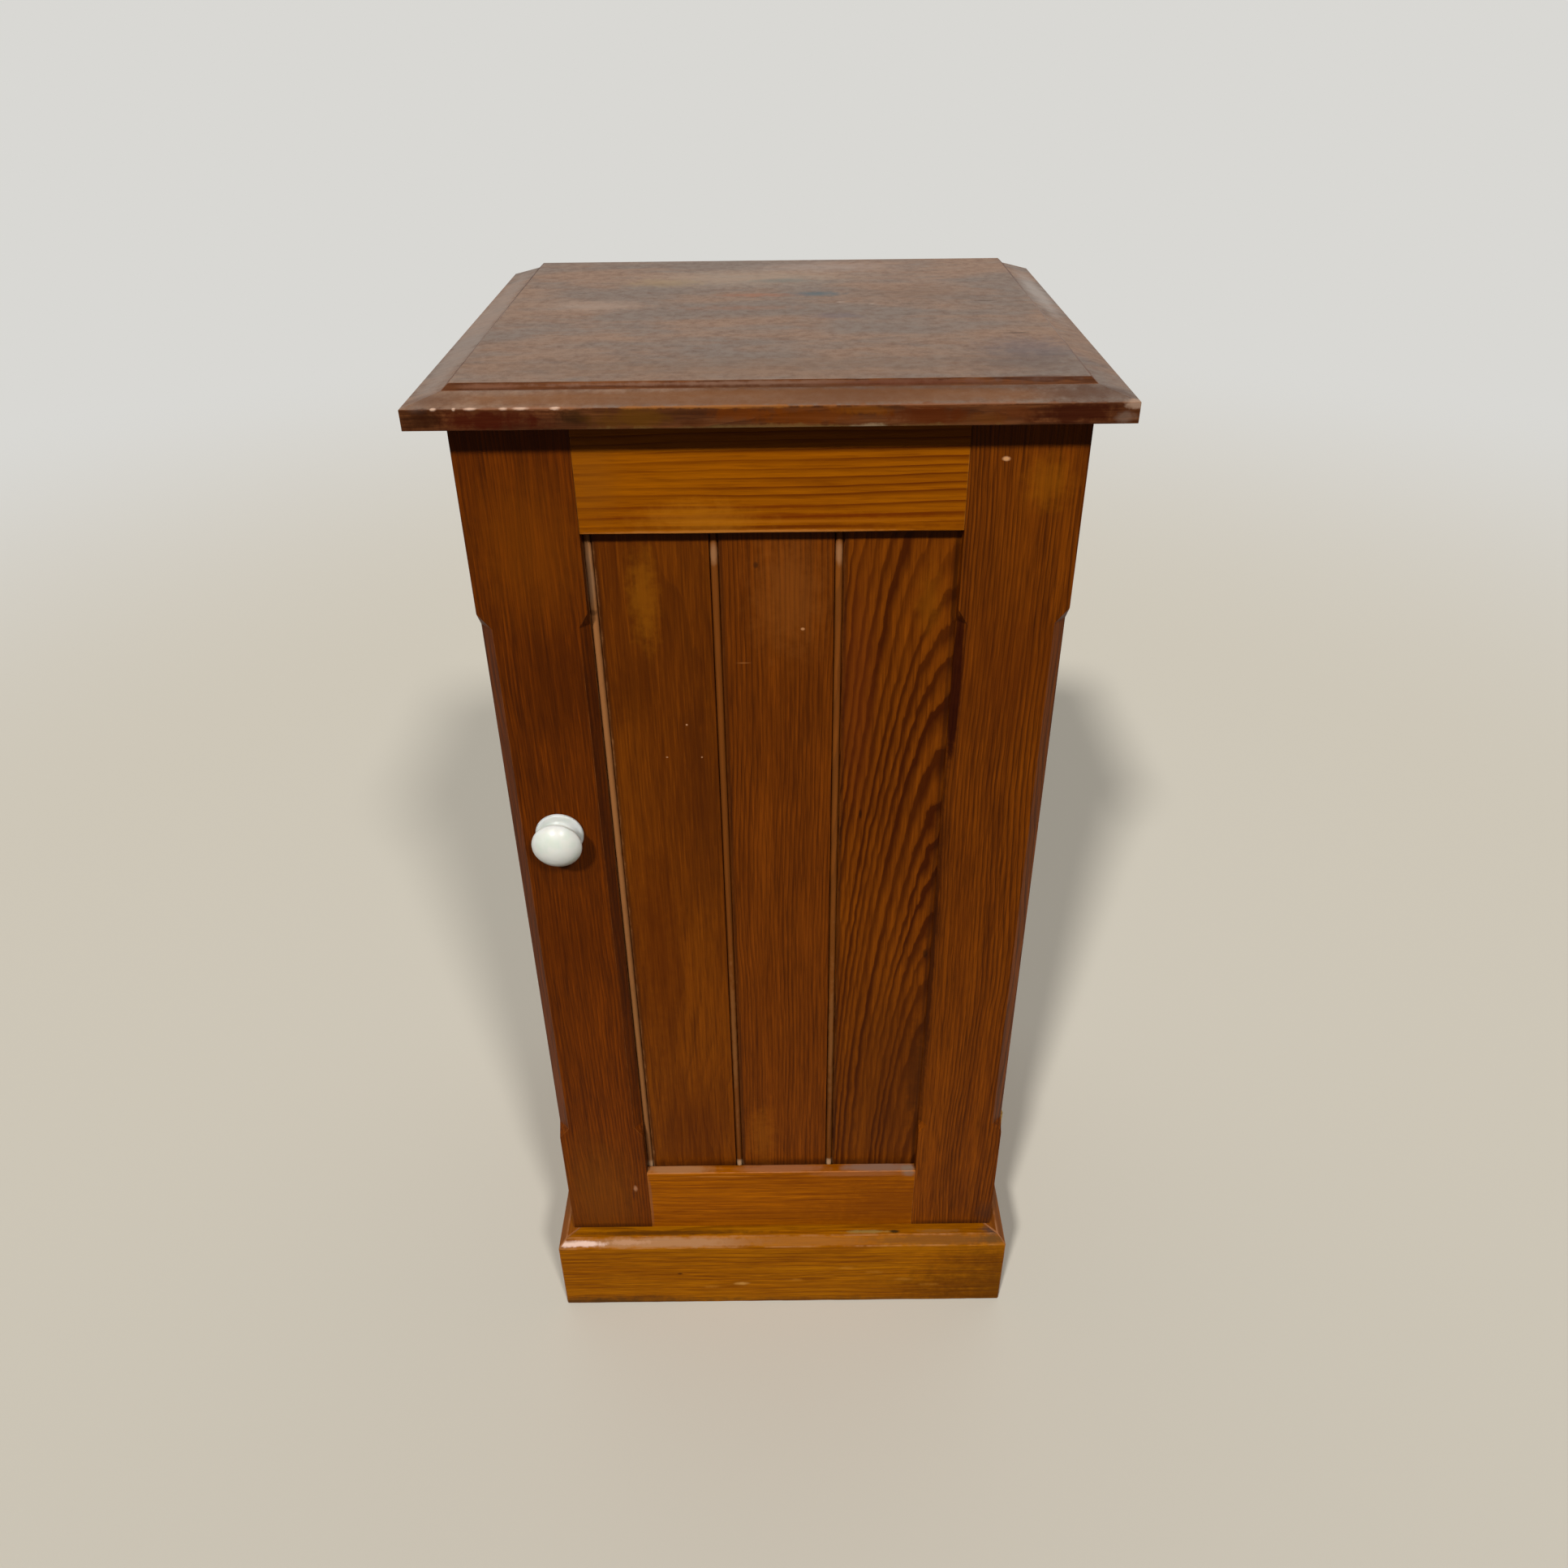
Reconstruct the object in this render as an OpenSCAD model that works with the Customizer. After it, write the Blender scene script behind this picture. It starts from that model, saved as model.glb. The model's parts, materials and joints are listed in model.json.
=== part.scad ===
// Bedside pot cupboard in varnished pitch pine, with a porcelain knob.
// Millimetres, +Z up. The front faces -Y, and +X is on the viewer's right.
// The origin is on the floor, in the middle of the whole object's plan.

/* [Overall] */
// Width of the top board, the widest part
top_w = 390; // [374:1:414]
// Depth of the top board
top_d = 352; // [330:1:380]
// Height from the floor to the top
total_h = 792; // [770:1:830]

/* [Top board] */
// Thickness of the top board
top_t = 19; // [17:0.5:22]
// How far the top stands past each side of the case
top_over_side = 19; // [14:1:20]
// How far the top stands past the face of the door
top_over_front = 18; // [12:1:22]
// How far the top stands past the back
top_over_back = 2; // [0:1:5]
// Height of the step round the raised field
step_h = 3.2; // [2:0.2:4]
// Width of that step, measured flat
step_w = 3.5; // [2:0.5:5]
// Width of the sloping bevel outside the step, measured flat
bevel_w = 19; // [15:1:22]
// How far the bevel falls from the step to the edge
bevel_fall = 4.5; // [3:0.1:7]

/* [Case] */
// Thickness of the two sides
side_t = 18; // [16:1:18]
// Thickness of the bottom board
bottom_t = 16; // [14:1:18]
// Thickness of the inner shelf
shelf_t = 14; // [12:1:18]
// Height of the shelf's upper face above the floor
shelf_z = 432; // [380:1:450]
// How far the shelf's front edge lies behind the front of the case
shelf_setback = 12; // [4:1:30]
// Depth of the housings in the sides
housing_d = 6; // [4:0.5:7]
// Thickness of the back boards
back_t = 9; // [8:0.5:12]
// Width of the rebate in each side that the back boards sit in
rebate_w = 10; // [8:0.5:11]
// Number of boards in the back
back_count = 4; // [4:1:4]
// Width of the two flat rails under the top
top_rail_w = 58; // [50:1:70]
// Thickness of the two flat rails under the top
top_rail_t = 18; // [16:1:20]

/* [Plinth] */
// Height of the plinth
plinth_h = 82; // [75:1:95]
// Thickness of the plinth boards
plinth_t = 22; // [20:1:26]
// How far the plinth stands past the case sides and the door face
plinth_over = 13; // [9:1:15]
// Size of the bevel along the plinth's upper edge
plinth_bevel = 6.5; // [4:0.5:9]

/* [Door] */
// Thickness of the door frame
door_t = 20; // [20:1:24]
// Gap between the back of the door and the front of the case
door_gap = 1; // [0.8:0.1:1.5]
// Gap between the plinth and the bottom of the door
door_lift = 5; // [2:0.5:8]
// Gap between the door and the underside of the top
door_head_gap = 2; // [1:0.5:4]
// Width of the two door stiles
stile_w = 66; // [60:1:72]
// Height of the door's top rail
head_rail_h = 64; // [58:1:75]
// Height of the door's bottom rail
foot_rail_h = 68; // [60:1:75]
// How far the panel lies behind the face of the door frame
panel_recess = 8; // [6.5:0.5:8.5]
// Thickness of the panel boards, the grooves and the tenons
panel_t = 9; // [8:0.5:9.5]
// Depth of the groove round the inside of the door frame
groove_d = 7; // [5:0.5:9]
// Number of boards in the door panel
panel_count = 3; // [3:1:3]
// Width of the bead worked on each panel board
bead_w = 4.4; // [3:0.2:6]
// Width of the narrow sinking to the right of the bead
quirk_w = 1; // [0.6:0.1:1.8]
// Size of the stopped chamfer on the outer edges of the stiles
outer_chamfer = 8; // [4:0.5:10]
// Size of the stopped chamfer on the inner edges of the stiles
inner_chamfer = 6; // [3:0.5:6.5]
// Distance from each end of the door to the chamfer's stop
chamfer_margin = 113; // [90:1:140]
// Length of the slope that ends each chamfer
chamfer_run = 10; // [4:1:24]

/* [Joints in the wood] */
// Length of the shoulder beside each door tenon that only fills the groove
haunch_h = 20; // [14:1:22]
// Thickness of a door wedge at its outer end
wedge_t = 3; // [2:0.5:3.5]
// Length of a door wedge
wedge_l = 35; // [25:1:45]
// Thickness of the tongues on the panel boards and back boards
tongue_t = 3; // [2.4:0.2:3.4]
// Length of those tongues
tongue_l = 5; // [4:0.5:6]

/* [Knob and latch] */
// How far the knob stands out of the face of the door
knob_reach = 24; // [23:0.5:28]
// Radius of the knob's cap
knob_cap_r = 16.5; // [16:0.5:18]
// Radius of the knob's foot
knob_foot_r = 16; // [15:0.5:18]
// Distance from the door's edge to the knob's centre
knob_inset = 32.5; // [32.5:0.5:36]
// Height of the knob's centre above the floor
knob_z = 498.5; // [475:0.5:510]
// Radius of the brass spindle
spindle_r = 3; // [2.8:0.1:3.2]
// Length of the latch tongue, from the spindle's axis to its tip
latch_l = 14; // [13:0.5:14.4]
// Width of the latch tongue
latch_w = 10; // [9:0.5:10]
// Thickness of the latch tongue
latch_t = 3; // [2:0.5:4]
// How far the catch block stands out of the side
catch_t = 6; // [5:0.5:6.5]

/* [Hinges] */
// Length of a hinge
hinge_l = 50; // [40:5:60]
// Width of a leaf, from the pin's axis to its free edge
leaf_w = 16; // [14:0.5:17]
// Thickness of a leaf
leaf_t = 1.5; // [1.2:0.1:1.8]
// Outer radius of the knuckles
knuckle_r = 2.8; // [2.5:0.1:3]
// Radius of the hinge pin
pin_r = 1.4; // [1.2:0.1:1.6]
// How far the pin's axis stands out of the side of the case
axis_out = 1.5; // [1:0.1:2.5]
// Distance from each end of the door to the nearer hinge
hinge_margin = 64; // [60:1:110]

/* [Hidden] */
$fn = 64;

// Cutters run this far past the faces they open
over = 1;
// Least gap between faces that move past each other
run_gap = 0.3;

// Case: faces of the sides, and the planes of its front, back and top
case_w = top_w - 2 * top_over_side;
side_out = case_w / 2;
side_in = side_out - side_t;
whole_d = top_d + knob_reach - top_over_front;
top_back = whole_d / 2;
top_front = top_back - top_d;
door_y = top_front + top_over_front;
door_back = door_y + door_t;
case_y = door_back + door_gap;
case_back = top_back - top_over_back;
back_face = case_back - back_t;
case_top = total_h - top_t;

// Plinth: outer front face, and the inner faces of its boards
plinth_y = door_y - plinth_over;
plinth_out = side_out + plinth_over;
plinth_in = plinth_out - plinth_t;
plinth_inner_y = plinth_y + plinth_t;
batten_h = 25;
batten_w = 30;
corner_leg = 30;
corner_foot = 6;

// Door: outline, rails and the groove that takes the panel and the tenons
door_z0 = plinth_h + door_lift;
door_z1 = case_top - door_head_gap;
stile_in = side_out - stile_w;
head_z = door_z1 - head_rail_h;
foot_z = door_z0 + foot_rail_h;
groove_y0 = door_y + panel_recess;
groove_y1 = groove_y0 + panel_t;
board_slack = 1;
panel_z0 = foot_z - groove_d + board_slack;
panel_z1 = head_z + groove_d - board_slack;
panel_edge = stile_in + groove_d - board_slack;
panel_pitch = 2 * stile_in / panel_count;
near_quirk_w = 0.3;
chamfer_z0 = door_z0 + chamfer_margin;
chamfer_z1 = door_z1 - chamfer_margin;
// Tenons, from the bottom of the groove to the haunch
head_tenon = [head_z + groove_d, door_z1 - haunch_h];
foot_tenon = [door_z0 + haunch_h, foot_z - groove_d];

// Boards with a tongue and a groove
board_gap = 0.3;
tongue_fit = 0.1;
tongue_free = 0.5;
back_edge = side_in + rebate_w - board_slack;
back_pitch = 2 * back_edge / back_count;
back_vee = 1.2;

// Shelf bearers and the dovetails of the top rails
bearer_h = 20;
bearer_t = 18;
bearer_splay = 14;
shelf_slack = 0.5;
tail_l = 12;
tail_neck = 32;
tail_end = 40;
block_leg = 20;
block_l = 50;
block_gap = 12;

// Latch, stacked along the spindle behind the door
knob_x = -side_out + knob_inset;
spindle_fit = 0.05;
spindle_depth = 18;
catch_gap = 1;
catch_l = 10;
catch_h = 40;
latch_play = 0.5;
catch_y0 = case_y + catch_gap;
catch_y1 = catch_y0 + catch_l;
tongue_y = catch_y1 + latch_play;
nut_y = tongue_y + latch_t;
nut_t = 3.5;
nut_w = 9;
thread_r = 2;
thread_end = 1.5;
square_w = 4.2;
washer_r = 7;
washer_t = 1.2;
sleeve_r = 4.5;
sleeve_y = door_back + run_gap + washer_t;
stop_r = 1.2;
stop_depth = 12;
stop_side = latch_w / 2 + stop_r + run_gap;
stop_along = 7;

// Knob profile: foot, neck, and a domed cap with a rounded rim
foot_round = 1.5;
foot_t = 3;
neck_r = 12;
neck_l = 9.9;
neck_hollow = 5.5;
neck_offset = 14.4;
rim_r = 1.8;
cap_z = run_gap + foot_t + neck_l;
rim_x = knob_cap_r - rim_r;
rim_z = cap_z + rim_r;
// Height of the dome's centre, so that the dome meets the rim without a corner
dome_top = knob_reach - rim_r;
dome_c = (dome_top * dome_top - rim_x * rim_x - rim_z * rim_z) / (2 * (dome_top - rim_z));
dome_r = knob_reach - dome_c;

// Hinges: pin axis, leaf faces and knuckles
hinge_x = side_out + axis_out;
hinge_y = (door_back + case_y) / 2;
leaf_gap = 0.25;
knuckle_count = 5;
knuckle_l = hinge_l / knuckle_count;
knuckle_gap = 0.2;
pin_fit = 0.05;
pin_head_r = 2.3;
pin_head_t = 1.2;
lower_hinge_z = door_z0 + hinge_margin;
upper_hinge_z = door_z1 - hinge_margin - hinge_l;
hinge_zs = [lower_hinge_z, upper_hinge_z];
leaf_screw_x = side_out - 7;
leaf_screw_zs = [for (share = [0.18, 0.5, 0.82]) share * hinge_l];

// Screws and nails: [head radius, head height, shank radius, length]
hinge_screw = [3, 1.6, 1.4, 13];
wood_screw = [4, 2.6, 2, 28];
back_nail = [2.2, 0.8, 0.9, 25];
catch_nail = [1.6, 0.6, 0.9, 14];
nail_rows = [plinth_h + bottom_t / 2, shelf_z - shelf_t / 2, case_top - top_rail_t / 2];
nail_inset = 22;
catch_nail_off = 12;
top_screw_x = 90;
bearer_screw_ys = [case_y + 50, back_face - 50];

// A plain box between two limits on each axis
module block(x, y, z) {
    translate([x[0], y[0], z[0]])
        cube([x[1] - x[0], y[1] - y[0], z[1] - z[0]]);
}

// A profile drawn as [distance back, height], run along X between two limits
module run_along_x(x) {
    translate([x[0], 0, 0])
        rotate([90, 0, 90])
            linear_extrude(height = x[1] - x[0])
                children();
}

// A profile drawn as [distance to the right, height], run along Y
module run_along_y(y) {
    translate([0, y[1], 0])
        rotate([90, 0, 0])
            linear_extrude(height = y[1] - y[0])
                children();
}

// A countersunk screw or flat nail along +Z, its head's face at the origin
module fastener(size, flat_head = false) {
    head_point_r = flat_head ? size[0] : size[2];
    cylinder(r1 = size[0], r2 = head_point_r, h = size[1]);
    cylinder(r = size[2], h = size[3]);
}

// ---- Top ----

// Waste above the step and bevel: [distance in from the edge, height from the top]
module edge_waste() {
    border = bevel_w + step_w;
    edge_z = -step_h - bevel_fall;
    slope = bevel_fall / bevel_w;
    polygon([
        [-over, over], [border, over], [border, 0],
        [bevel_w, -step_h], [0, edge_z], [-over, edge_z - over * slope]
    ]);
}

module top_board() {
    color("#6b4330")
    difference() {
        block([-top_w / 2, top_w / 2], [top_front, top_back], [case_top, total_h]);
        run_along_x([-top_w / 2 - over, top_w / 2 + over])
            translate([top_front, total_h]) edge_waste();
        for (side = [0, 1])
            mirror([side, 0, 0])
                run_along_y([top_front - over, top_back + over])
                    translate([-top_w / 2, total_h]) edge_waste();
        top_screws();
    }
}

module top_screws() {
    ys = [case_y + top_rail_w / 2, back_face - top_rail_w / 2];
    color("#7d7a74")
    for (x = [-top_screw_x, top_screw_x], y = ys)
        translate([x, y, case_top - top_rail_t])
            fastener(wood_screw);
}

// Triangular blocks rubbed into the corner between the sides and the top
module top_glue_blocks() {
    first_y = case_y + top_rail_w + block_gap;
    last_y = back_face - top_rail_w - block_gap - block_l;
    color("#c49a63")
    for (side = [0, 1], y = [first_y, last_y])
        mirror([side, 0, 0])
            run_along_y([y, y + block_l])
                polygon([
                    [side_in, case_top], [side_in - block_leg, case_top],
                    [side_in, case_top - block_leg]
                ]);
}

// ---- Case ----

// Plan of the dovetail at the right end of a flat rail, centred on y = mid
module tail_plan(mid) {
    polygon([
        [side_in - over, mid - tail_neck / 2], [side_in, mid - tail_neck / 2],
        [side_in + tail_l, mid - tail_end / 2], [side_in + tail_l, mid + tail_end / 2],
        [side_in, mid + tail_neck / 2], [side_in - over, mid + tail_neck / 2]
    ]);
}

// The right-hand side of the case: the left one is its mirror image
module case_side() {
    inside = side_in - over;
    difference() {
        block([side_in, side_out], [case_y, case_back], [plinth_h, case_top]);
        block([inside, side_in + rebate_w], [back_face, case_back + over],
              [plinth_h - over, case_top + over]);
        block([inside, side_in + housing_d], [case_y - over, back_face + over],
              [plinth_h - over, plinth_h + bottom_t]);
        for (mid = [case_y + top_rail_w / 2, back_face - top_rail_w / 2])
            translate([0, 0, case_top - top_rail_t])
                linear_extrude(height = top_rail_t + over)
                    tail_plan(mid);
        bearer_screws();
    }
}

module left_side() {
    color("#6f3f1c")
    difference() {
        mirror([1, 0, 0]) case_side();
        catch_block_nails();
    }
}

module right_side() {
    color("#6f3f1c")
    difference() {
        case_side();
        for (z = hinge_zs)
            block([hinge_x - leaf_w, side_out + over],
                  [case_y - over, hinge_y + leaf_gap + leaf_t], [z, z + hinge_l]);
        knuckle_room();
        hinge_case_screws();
    }
}

module bottom_board() {
    color("#b98a52")
    difference() {
        block([-side_in - housing_d, side_in + housing_d], [case_y, back_face],
              [plinth_h, plinth_h + bottom_t]);
        back_nails();
    }
}

module shelf() {
    color("#b98a52")
    difference() {
        block([-side_in + shelf_slack, side_in - shelf_slack],
              [case_y + shelf_setback, back_face], [shelf_z - shelf_t, shelf_z]);
        back_nails();
    }
}

// The right-hand shelf bearer, with its lower front corner cut away
module bearer() {
    front = case_y + shelf_setback + bearer_splay;
    top = shelf_z - shelf_t;
    difference() {
        run_along_x([side_in - bearer_t, side_in])
            polygon([
                [front, top], [front, top - bearer_h / 3],
                [front + bearer_splay, top - bearer_h],
                [back_face, top - bearer_h], [back_face, top]
            ]);
        bearer_screws();
    }
}

module shelf_bearer_left() {
    color("#b98a52") mirror([1, 0, 0]) bearer();
}

module shelf_bearer_right() {
    color("#b98a52") bearer();
}

module bearer_screws() {
    z = shelf_z - shelf_t - bearer_h / 2;
    color("#7d7a74")
    for (side = [0, 1], y = bearer_screw_ys)
        mirror([side, 0, 0])
            translate([side_in - bearer_t, y, z])
                rotate([0, 90, 0])
                    fastener(wood_screw);
}

// A flat rail under the top, dovetailed into both sides
module flat_rail(y) {
    mid = (y[0] + y[1]) / 2;
    difference() {
        union() {
            block([-side_in, side_in], y, [case_top - top_rail_t, case_top]);
            for (side = [0, 1])
                mirror([side, 0, 0])
                    translate([0, 0, case_top - top_rail_t])
                        linear_extrude(height = top_rail_t)
                            tail_plan(mid);
        }
        top_screws();
        back_nails();
    }
}

module front_top_rail() {
    color("#b98a52") flat_rail([case_y, case_y + top_rail_w]);
}

module back_top_rail() {
    color("#b98a52") flat_rail([back_face - top_rail_w, back_face]);
}

// ---- Boards with tongues and grooves ----

// Plan of a board from x[0] to x[1], its face at y = 0 and its back at thick.
// A board in the middle of a row has a tongue on its left and a groove on its right.
module board_plan(x, thick, tongue, groove) {
    mid = thick / 2;
    right = x[1] - (groove ? board_gap : 0);
    groove_w = tongue_t + 2 * tongue_fit;
    difference() {
        union() {
            translate([x[0], 0]) square([right - x[0], thick]);
            if (tongue)
                translate([x[0] - tongue_l, mid - tongue_t / 2])
                    square([tongue_l + over, tongue_t]);
        }
        if (groove)
            translate([right - tongue_l - tongue_free, mid - groove_w / 2])
                square([tongue_l + tongue_free + over, groove_w]);
    }
}

// Waste that leaves a round bead at a board's left edge, between two quirks
module bead_waste() {
    r = bead_w / 2;
    difference() {
        translate([0, -over])
            square([near_quirk_w + bead_w + quirk_w, over + r + quirk_w / 2]);
        translate([near_quirk_w + r, r]) circle(r = r);
        translate([near_quirk_w, r])
            square([bead_w, r]);
    }
}

// One board of the door panel, counted from the left
module door_board(index) {
    first = index == 0;
    last = index == panel_count - 1;
    edge = panel_edge - stile_in;
    color("#8a4f1f")
    translate([-stile_in + index * panel_pitch, groove_y0, panel_z0])
        linear_extrude(height = panel_z1 - panel_z0)
            difference() {
                board_plan([first ? -edge : 0, panel_pitch + (last ? edge : 0)],
                           panel_t, !first, !last);
                bead_waste();
            }
}

module door_board_1() { door_board(0); }
module door_board_2() { door_board(1); }
module door_board_3() { door_board(2); }

// Waste of the small vee on the rear arris of a back board
module vee_waste(x) {
    translate([x, back_t]) rotate(45)
        square(back_vee * sqrt(2), center = true);
}

// One board of the back, counted from the left as seen from the front.
// Its shown face is at the rear, with a small vee where two boards meet.
module back_board(index) {
    first = index == 0;
    last = index == back_count - 1;
    color("#a87b45")
    difference() {
        translate([-back_edge + index * back_pitch, back_face, plinth_h])
            linear_extrude(height = case_top - plinth_h)
                difference() {
                    board_plan([0, back_pitch], back_t, !first, !last);
                    if (!first) vee_waste(0);
                    if (!last) vee_waste(back_pitch - board_gap);
                }
        back_nails();
    }
}

module back_board_1() { back_board(0); }
module back_board_2() { back_board(1); }
module back_board_3() { back_board(2); }
module back_board_4() { back_board(3); }

module back_nails() {
    color("#4b4743")
    for (index = [0 : back_count - 1], z = nail_rows, inset = [nail_inset, back_pitch - nail_inset])
        translate([-back_edge + index * back_pitch + inset, case_back, z])
            rotate([90, 0, 0])
                fastener(back_nail, flat_head = true);
}

// ---- Plinth ----

// Waste outside the bevel: [distance in from the face, height from the top]
module plinth_waste() {
    polygon([
        [-over, over], [plinth_bevel + over, over],
        [-over, -plinth_bevel - over]
    ]);
}

module plinth_front() {
    color("#a8681f")
    difference() {
        linear_extrude(height = plinth_h)
            polygon([
                [-plinth_out, plinth_y], [plinth_out, plinth_y],
                [plinth_in, plinth_inner_y], [-plinth_in, plinth_inner_y]
            ]);
        run_along_x([-plinth_out - over, plinth_out + over])
            translate([plinth_y, plinth_h]) plinth_waste();
    }
}

// The right-hand return of the plinth, mitred at the front
module plinth_side() {
    difference() {
        linear_extrude(height = plinth_h)
            polygon([
                [plinth_out, plinth_y], [plinth_out, case_back],
                [plinth_in, case_back], [plinth_in, plinth_inner_y]
            ]);
        mirror([1, 0, 0])
            run_along_y([plinth_y - over, case_back + over])
                translate([-plinth_out, plinth_h]) plinth_waste();
    }
}

module plinth_left() {
    color("#8d5520") mirror([1, 0, 0]) plinth_side();
}

module plinth_right() {
    color("#8d5520") plinth_side();
}

module plinth_back() {
    color("#a87b45")
    block([-plinth_in, plinth_in], [case_back - plinth_t, case_back], [0, plinth_h]);
}

// Batten behind the plinth's front board, which carries the bottom board
module plinth_batten() {
    color("#b98a52")
    block([-plinth_in, plinth_in], [plinth_inner_y, plinth_inner_y + batten_w],
          [plinth_h - batten_h, plinth_h]);
}

// Triangular glue blocks in the plinth's four corners
module plinth_corner_blocks() {
    front_y = plinth_inner_y;
    rear_y = case_back - plinth_t;
    color("#c49a63")
    for (side = [0, 1])
        mirror([side, 0, 0]) {
            translate([0, 0, corner_foot])
                linear_extrude(height = plinth_h - batten_h - corner_foot)
                    polygon([
                        [plinth_in, front_y], [plinth_in, front_y + corner_leg],
                        [plinth_in - corner_leg, front_y]
                    ]);
            translate([0, 0, corner_foot])
                linear_extrude(height = plinth_h - corner_foot)
                    polygon([
                        [plinth_in, rear_y], [plinth_in - corner_leg, rear_y],
                        [plinth_in, rear_y - corner_leg]
                    ]);
        }
}

// ---- Door ----

// Waste of a stopped chamfer on an upright arris that points along -X and -Y
module chamfer_waste(size) {
    depth = size / sqrt(2);
    z0 = chamfer_z0;
    z1 = chamfer_z1;
    rotate([0, 0, 45])
        run_along_y([-2 * size, 2 * size])
            polygon([
                [-over, z0], [0, z0], [depth, z0 + chamfer_run],
                [depth, z1 - chamfer_run], [0, z1], [-over, z1]
            ]);
}

// The two wedges at the right-hand end of a tenon, drawn past the stile by extra
module wedge_pair(tenon, extra) {
    tip = side_out - wedge_l;
    end = side_out + extra;
    rise = wedge_t * (wedge_l + extra) / wedge_l;
    run_along_y([groove_y0, groove_y1]) {
        polygon([[tip, tenon[1]], [end, tenon[1]], [end, tenon[1] + rise]]);
        polygon([[tip, tenon[0]], [end, tenon[0] - rise], [end, tenon[0]]]);
    }
}

// The right-hand stile of the door: the left one is its mirror image
module door_stile() {
    difference() {
        block([stile_in, side_out], [door_y, door_back], [door_z0, door_z1]);
        block([stile_in - over, stile_in + groove_d], [groove_y0, groove_y1],
              [door_z0 - over, door_z1 + over]);
        for (tenon = [head_tenon, foot_tenon]) {
            block([stile_in, side_out + over], [groove_y0, groove_y1], tenon);
            wedge_pair(tenon, over);
        }
        translate([stile_in, door_y, 0]) chamfer_waste(inner_chamfer);
        mirror([1, 0, 0])
            translate([-side_out, door_y, 0]) chamfer_waste(outer_chamfer);
    }
}

module door_left_stile() {
    color("#5e3112")
    difference() {
        mirror([1, 0, 0]) door_stile();
        translate([knob_x, door_back + over, knob_z])
            rotate([90, 0, 0])
                cylinder(r = spindle_r + spindle_fit, h = door_t + 2 * over);
        latch_stop_pins();
    }
}

module door_right_stile() {
    color("#66370f")
    difference() {
        door_stile();
        for (z = hinge_zs)
            block([hinge_x - leaf_w, side_out + over],
                  [hinge_y - leaf_gap - leaf_t, door_back + over], [z, z + hinge_l]);
        knuckle_room();
        hinge_door_screws();
    }
}

// A door rail with through tenons, haunches and a groove along its inner edge
module door_rail(z, tenon, haunch, groove) {
    difference() {
        union() {
            block([-stile_in, stile_in], [door_y, door_back], z);
            block([-side_out, side_out], [groove_y0, groove_y1], tenon);
            block([-stile_in - groove_d, stile_in + groove_d], [groove_y0, groove_y1], haunch);
        }
        block([-stile_in - over, stile_in + over], [groove_y0, groove_y1], groove);
    }
}

module door_top_rail() {
    color("#a3641c")
    door_rail([head_z, door_z1], head_tenon, [head_tenon[1], door_z1],
              [head_z - over, head_tenon[0]]);
}

module door_bottom_rail() {
    color("#a3641c")
    door_rail([door_z0, foot_z], foot_tenon, [door_z0, foot_tenon[0]],
              [foot_tenon[1], foot_z + over]);
}

module door_wedges() {
    color("#7a4a20")
    for (side = [0, 1], tenon = [head_tenon, foot_tenon])
        mirror([side, 0, 0]) wedge_pair(tenon, 0);
}

// ---- Hinges ----

// Round hollow in the door and the side, in which the knuckles and pin heads turn
module knuckle_room() {
    end_room = pin_head_t + knuckle_gap;
    for (z = hinge_zs)
        translate([hinge_x, hinge_y, z - end_room])
            cylinder(r = knuckle_r + run_gap, h = hinge_l + 2 * end_room);
}

// One leaf of a butt hinge whose lower end is at z.
// turn is 1 for the leaf on the case and -1 for the leaf on the door.
module hinge_leaf(z, turn) {
    near = hinge_y + turn * leaf_gap;
    far = hinge_y + turn * (leaf_gap + leaf_t);
    first = turn > 0 ? 0 : 1;
    difference() {
        union() {
            block([hinge_x - leaf_w, hinge_x], [min(near, far), max(near, far)],
                  [z, z + hinge_l]);
            for (k = [first : 2 : knuckle_count - 1])
                translate([hinge_x, hinge_y, z + k * knuckle_l + knuckle_gap])
                    cylinder(r = knuckle_r, h = knuckle_l - 2 * knuckle_gap);
        }
        // Room for the other leaf's knuckles
        for (k = [1 - first : 2 : knuckle_count - 1])
            translate([hinge_x, hinge_y, z + k * knuckle_l - knuckle_gap])
                cylinder(r = knuckle_r + run_gap, h = knuckle_l + 2 * knuckle_gap);
        translate([hinge_x, hinge_y, z - over])
            cylinder(r = pin_r + pin_fit, h = hinge_l + 2 * over);
    }
}

module hinge_pin(z) {
    color("#b08d3e")
    translate([hinge_x, hinge_y, z]) {
        cylinder(r = pin_r, h = hinge_l);
        for (end = [-pin_head_t, hinge_l])
            translate([0, 0, end]) cylinder(r = pin_head_r, h = pin_head_t);
    }
}

module case_leaf(z) {
    color("#b08d3e")
    difference() {
        hinge_leaf(z, 1);
        hinge_case_screws();
    }
}

module door_leaf(z) {
    color("#b08d3e")
    difference() {
        hinge_leaf(z, -1);
        hinge_door_screws();
    }
}

module upper_hinge_case_leaf() { case_leaf(upper_hinge_z); }
module upper_hinge_door_leaf() { door_leaf(upper_hinge_z); }
module upper_hinge_pin() { hinge_pin(upper_hinge_z); }
module lower_hinge_case_leaf() { case_leaf(lower_hinge_z); }
module lower_hinge_door_leaf() { door_leaf(lower_hinge_z); }
module lower_hinge_pin() { hinge_pin(lower_hinge_z); }

module hinge_case_screws() {
    color("#c2a052")
    for (z = hinge_zs, dz = leaf_screw_zs)
        translate([leaf_screw_x, hinge_y + leaf_gap, z + dz])
            rotate([-90, 0, 0])
                fastener(hinge_screw);
}

module hinge_door_screws() {
    color("#c2a052")
    for (z = hinge_zs, dz = leaf_screw_zs)
        translate([leaf_screw_x, hinge_y - leaf_gap, z + dz])
            rotate([90, 0, 0])
                fastener(hinge_screw);
}

// ---- Knob and latch ----

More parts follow.
